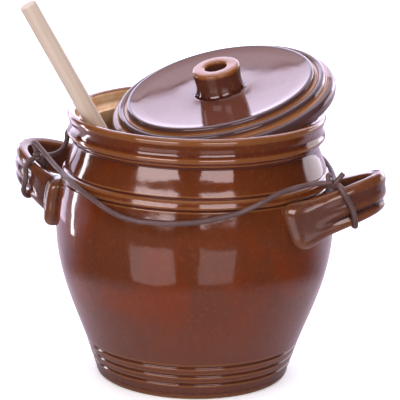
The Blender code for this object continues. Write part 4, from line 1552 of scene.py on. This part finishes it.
@dataclass
class Studio:
    """Pale floor, soft lamps, surroundings and the camera."""

    camera_place: Point = (0.508, -1.197, 0.455)
    camera_turn: float = math.radians(22.867)
    camera_tip: float = math.radians(74.892)
    camera_roll: float = math.radians(1.193)
    lens: float = 207.03
    sensor: float = 36.0
    farthest: float = 50.0
    front: float = math.radians(23.0)
    lamp_aim: Point = (0.0, 0.0, 0.09)
    room_light: float = 0.60
    room_gloss: float = 0.13
    floor_half: float = 6.0
    bright_floor: float = 0.155
    floor_polish: float = 0.22

    def direction(self, azimuth: float, elevation: float) -> Vector:
        """A direction seen from the jar.

        Args:
            azimuth: Degrees to the camera's right, from the jar towards the camera.
            elevation: Degrees above the horizon.

        Returns:
            The unit vector.
        """
        around = math.radians(azimuth) + self.front
        up = math.radians(elevation)
        return Vector((math.sin(around) * math.cos(up), -math.cos(around) * math.cos(up), math.sin(up)))

    def lamp(
        self,
        name: str,
        azimuth: float,
        elevation: float,
        distance: float,
        size: Pair,
        brightness: float,
        colour: Colour,
        lights: Lights = Lights.ALL,
    ) -> None:
        """A soft rectangular lamp that faces the jar.

        Args:
            name: Its name.
            azimuth: Degrees to the camera's right.
            elevation: Degrees above the horizon.
            distance: Metres from the jar's middle.
            size: Width and height in metres.
            brightness: Brightness of its face, where 1 is white.
            colour: Its colour.
            lights: What it lights: reflections, matt surfaces or both.
        """
        data = bpy.data.lights.new(name, "AREA")
        data.shape = "RECTANGLE"
        data.size, data.size_y = size
        data.energy = brightness * math.pi * size[0] * size[1]
        data.color = colour
        lamp = placed(name, data)
        aim = self.direction(azimuth, elevation)
        lamp.location = aim * distance + Vector(self.lamp_aim)
        lamp.rotation_mode = "QUATERNION"
        lamp.rotation_quaternion = aim.to_track_quat("Z", "Y")
        lamp.visible_camera = False
        lamp.visible_diffuse = lights is not Lights.GLOSS
        lamp.visible_glossy = lights is not Lights.MATT

    def build_lamps(self) -> None:
        """Sets windows and keys in front, lamps at both rims and behind, and two lamps overhead."""
        lilac = (0.84, 0.77, 1.0)
        mauve = (0.95, 0.86, 1.0)
        pale = (0.95, 0.92, 1.0)
        white = (0.96, 0.94, 1.0)
        blush = (1.0, 0.83, 0.85)
        rose = (1.0, 0.91, 1.0)
        gloss, matt = Lights.GLOSS, Lights.MATT
        self.lamp("window_left", -34.0, 15.0, 1.6, (1.05, 0.63), 8.6, blush, gloss)
        self.lamp("window_right", 19.0, 15.0, 1.6, (0.80, 0.63), 7.0, blush, gloss)
        self.lamp("key_left", -34.0, 13.0, 1.6, (1.05, 0.72), 4.0, pale, matt)
        self.lamp("key_right", 19.0, 13.0, 1.6, (0.80, 0.72), 3.7, pale, matt)
        self.lamp("rim_right", 132.0, 6.0, 1.8, (1.20, 0.80), 3.0, rose, gloss)
        self.lamp("strip_left", -108.0, 4.0, 0.36, (0.030, 0.215), 14.0, white, gloss)
        self.lamp("rim_left", -134.0, 2.0, 0.42, (0.170, 0.200), 2.6, lilac, gloss)
        self.lamp("over_back", 176.0, 20.0, 2.0, (3.20, 1.25), 4.3, lilac)
        self.lamp("high_back", 176.0, 56.0, 2.0, (3.00, 1.25), 1.9, mauve)
        self.lamp("overhead", 0.0, 86.0, 1.8, (1.60, 1.40), 1.5, pale)
        self.lamp("top_fill", 0.0, 70.0, 1.8, (1.60, 1.40), 3.4, pale, matt)

    def build_world(self) -> None:
        """Sets the white that the camera sees all round and the dimmer room that lights the jar."""
        world = bpy.data.worlds.new("studio")
        sheet = NodeSheet(world, "Background")
        bpy.context.scene.world = world
        room = sheet.number(sheet.mirrored(), self.room_light, self.room_gloss)
        sheet.fill(sheet.shader, {"Strength": sheet.number(sheet.seen(), room, 1.0)})

    def build_floor(self) -> None:
        """Lays the floor, pale with shadows near the jar and white far off.

        A reflection sees it pale round the jar and behind it, and dark in front.
        """
        shape = bmesh.new()
        bmesh.ops.create_grid(shape, x_segments=1, y_segments=1, size=self.floor_half)
        floor = finished("pale_floor", shape)
        sheet = NodeSheet(bpy.data.materials.new("floor_white"))
        toward = tuple(self.direction(0.0, 0.0))
        away = sheet.add("VectorMath", {0: sheet.place()}, operation="LENGTH").outputs["Value"]
        measured = {0: sheet.place(), 1: toward}
        ahead = sheet.add("VectorMath", measured, operation="DOT_PRODUCT").outputs["Value"]
        near = sheet.span(away, self.bright_floor, 1.35 * self.bright_floor, 1.0, 0.0)
        behind = sheet.span(ahead, 0.02, -0.20)
        dim, nearer, lilac = (0.055, 0.048, 0.050), (0.56, 0.51, 0.53), (0.62, 0.55, 0.62)
        reflected = sheet.layered(dim, (near, nearer), (behind, lilac))
        glossy = sheet.mirrored()
        glow = sheet.span(away, 0.5, 2.0, 0.45, 1.0)
        looks = {
            "Base Color": sheet.blend(glossy, (0.86, 0.86, 0.87), reflected),
            "Roughness": 0.9,
            "Emission Color": (1.0, 1.0, 1.0),
            "Emission Strength": sheet.maths("MULTIPLY", sheet.seen(), glow),
        }
        sheet.fill(sheet.shader, looks)
        polish = sheet.add("BsdfAnisotropic", {"Color": (0.96, 0.92, 0.94), "Roughness": 0.04})
        polished = sheet.maths("MULTIPLY", glossy, sheet.span(ahead, 0.02, 0.10, 0.0, self.floor_polish))
        both = sheet.add("MixShader", {0: polished, 1: sheet.shader.outputs[0], 2: polish.outputs[0]})
        sheet.fill(sheet.tree.nodes["Material Output"], {"Surface": both.outputs[0]})
        floor.data.materials.append(sheet.owner)

    def build_camera(self) -> None:
        """Sets the camera at the photograph's angle."""
        data = bpy.data.cameras.new("camera")
        data.lens = self.lens
        data.sensor_width = self.sensor
        data.clip_end = self.farthest
        camera = placed("camera", data)
        place = Matrix.Translation(Vector(self.camera_place))
        for angle, axis in ((self.camera_turn, "Z"), (self.camera_tip, "X"), (self.camera_roll, "Z")):
            place = place @ Matrix.Rotation(angle, 4, axis)
        camera.matrix_world = place
        bpy.context.scene.camera = camera

    def build(self) -> None:
        """Sets camera, world, lamps and floor."""
        self.build_camera()
        self.build_world()
        self.build_lamps()
        self.build_floor()
        bpy.context.scene.view_settings.view_transform = "Standard"


JAR_GLAZE = GlazeFinish(
    "jar_glaze",
    full=(0.108, 0.026, 0.008),
    deep=(0.145, 0.024, 0.003),
    thin=(0.180, 0.062, 0.019),
    pooled=(0.075, 0.018, 0.009),
    low=(0.122, 0.044, 0.027),
)
# Painted shade: a darker copy of the jar's glaze, standing in for the shade on the handles.
STRAP_GLAZE = GlazeFinish(
    "strap_glaze",
    full=(0.072, 0.020, 0.009),
    deep=(0.095, 0.024, 0.006),
    thin=(0.145, 0.048, 0.017),
    pooled=(0.030, 0.009, 0.007),
    low=(0.085, 0.030, 0.020),
    roughness=0.12,
    low_height=0.02,
)
LID_GLAZE = GlazeFinish(
    "lid_glaze",
    full=(0.115, 0.034, 0.020),
    deep=(0.125, 0.032, 0.014),
    thin=(0.250, 0.098, 0.030),
    pooled=(0.070, 0.034, 0.034),
    low=(0.110, 0.038, 0.026),
    low_height=0.02,
    wave=0.00005,
    dimple=0.000010,
    mottling=0.08,
)
KNOB_GLAZE = GlazeFinish(
    "knob_glaze",
    full=(0.110, 0.026, 0.008),
    deep=(0.150, 0.032, 0.006),
    thin=(0.240, 0.082, 0.022),
    pooled=(0.045, 0.011, 0.006),
    low=(0.110, 0.038, 0.026),
    low_height=0.02,
)
BEECH = WoodFinish(
    "sanded_beech", pale=(0.560, 0.455, 0.350), dark=(0.480, 0.360, 0.250), ray=(0.590, 0.500, 0.400)
)
LEATHER = LeatherFinish(
    "drawn_leather", hide=(0.085, 0.039, 0.035), worn=(0.140, 0.072, 0.066), crease=(0.046, 0.021, 0.019)
)


def main() -> None:
    """Builds the crock's pieces and the studio round them."""
    logging.basicConfig(level=logging.INFO, format="%(name)s: %(message)s")
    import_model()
    Studio().build()
    jar = CrockBody()
    right = StrapHandle("strap_right", "handle_right", width=0.0238, rise=0.0190, turn=0.0)
    left = StrapHandle(
        "strap_left",
        "handle_left",
        width=0.0215,
        rise=0.0140,
        turn=math.pi,
        tilt=math.radians(2.0),
        squareness=4.0,
        main_root=1,
        end_round=0.03,
        end_share=0.72,
        half_spread=0.0330,
        reach=0.1157,
        pad_middle=0.1022,
        pad_taper=0.60,
        upper_flute=0.0012,
        lower_flute=0.0020,
        root_flare=1.12,
        root_bulge=0.0012,
        pad_height=0.0295,
        pad_width=0.0190,
        pad_thick=0.0070,
        pad_azimuth=math.radians(24.5),
        pad_round=0.0052,
    )
    LeatherCord(jar, left, right).build(LEATHER.material())
    jar.build(JAR_GLAZE.material())
    # Both handles get the darker glaze, which is painted shade.
    strap_glaze = STRAP_GLAZE.material()
    right.build(strap_glaze)
    left.build(strap_glaze)
    lid = Lid()
    lid.build(LID_GLAZE.material())
    Knob().build(KNOB_GLAZE.material(), lid)
    PickleFork().build(BEECH)
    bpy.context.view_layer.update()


if __name__ == "__main__":
    main()
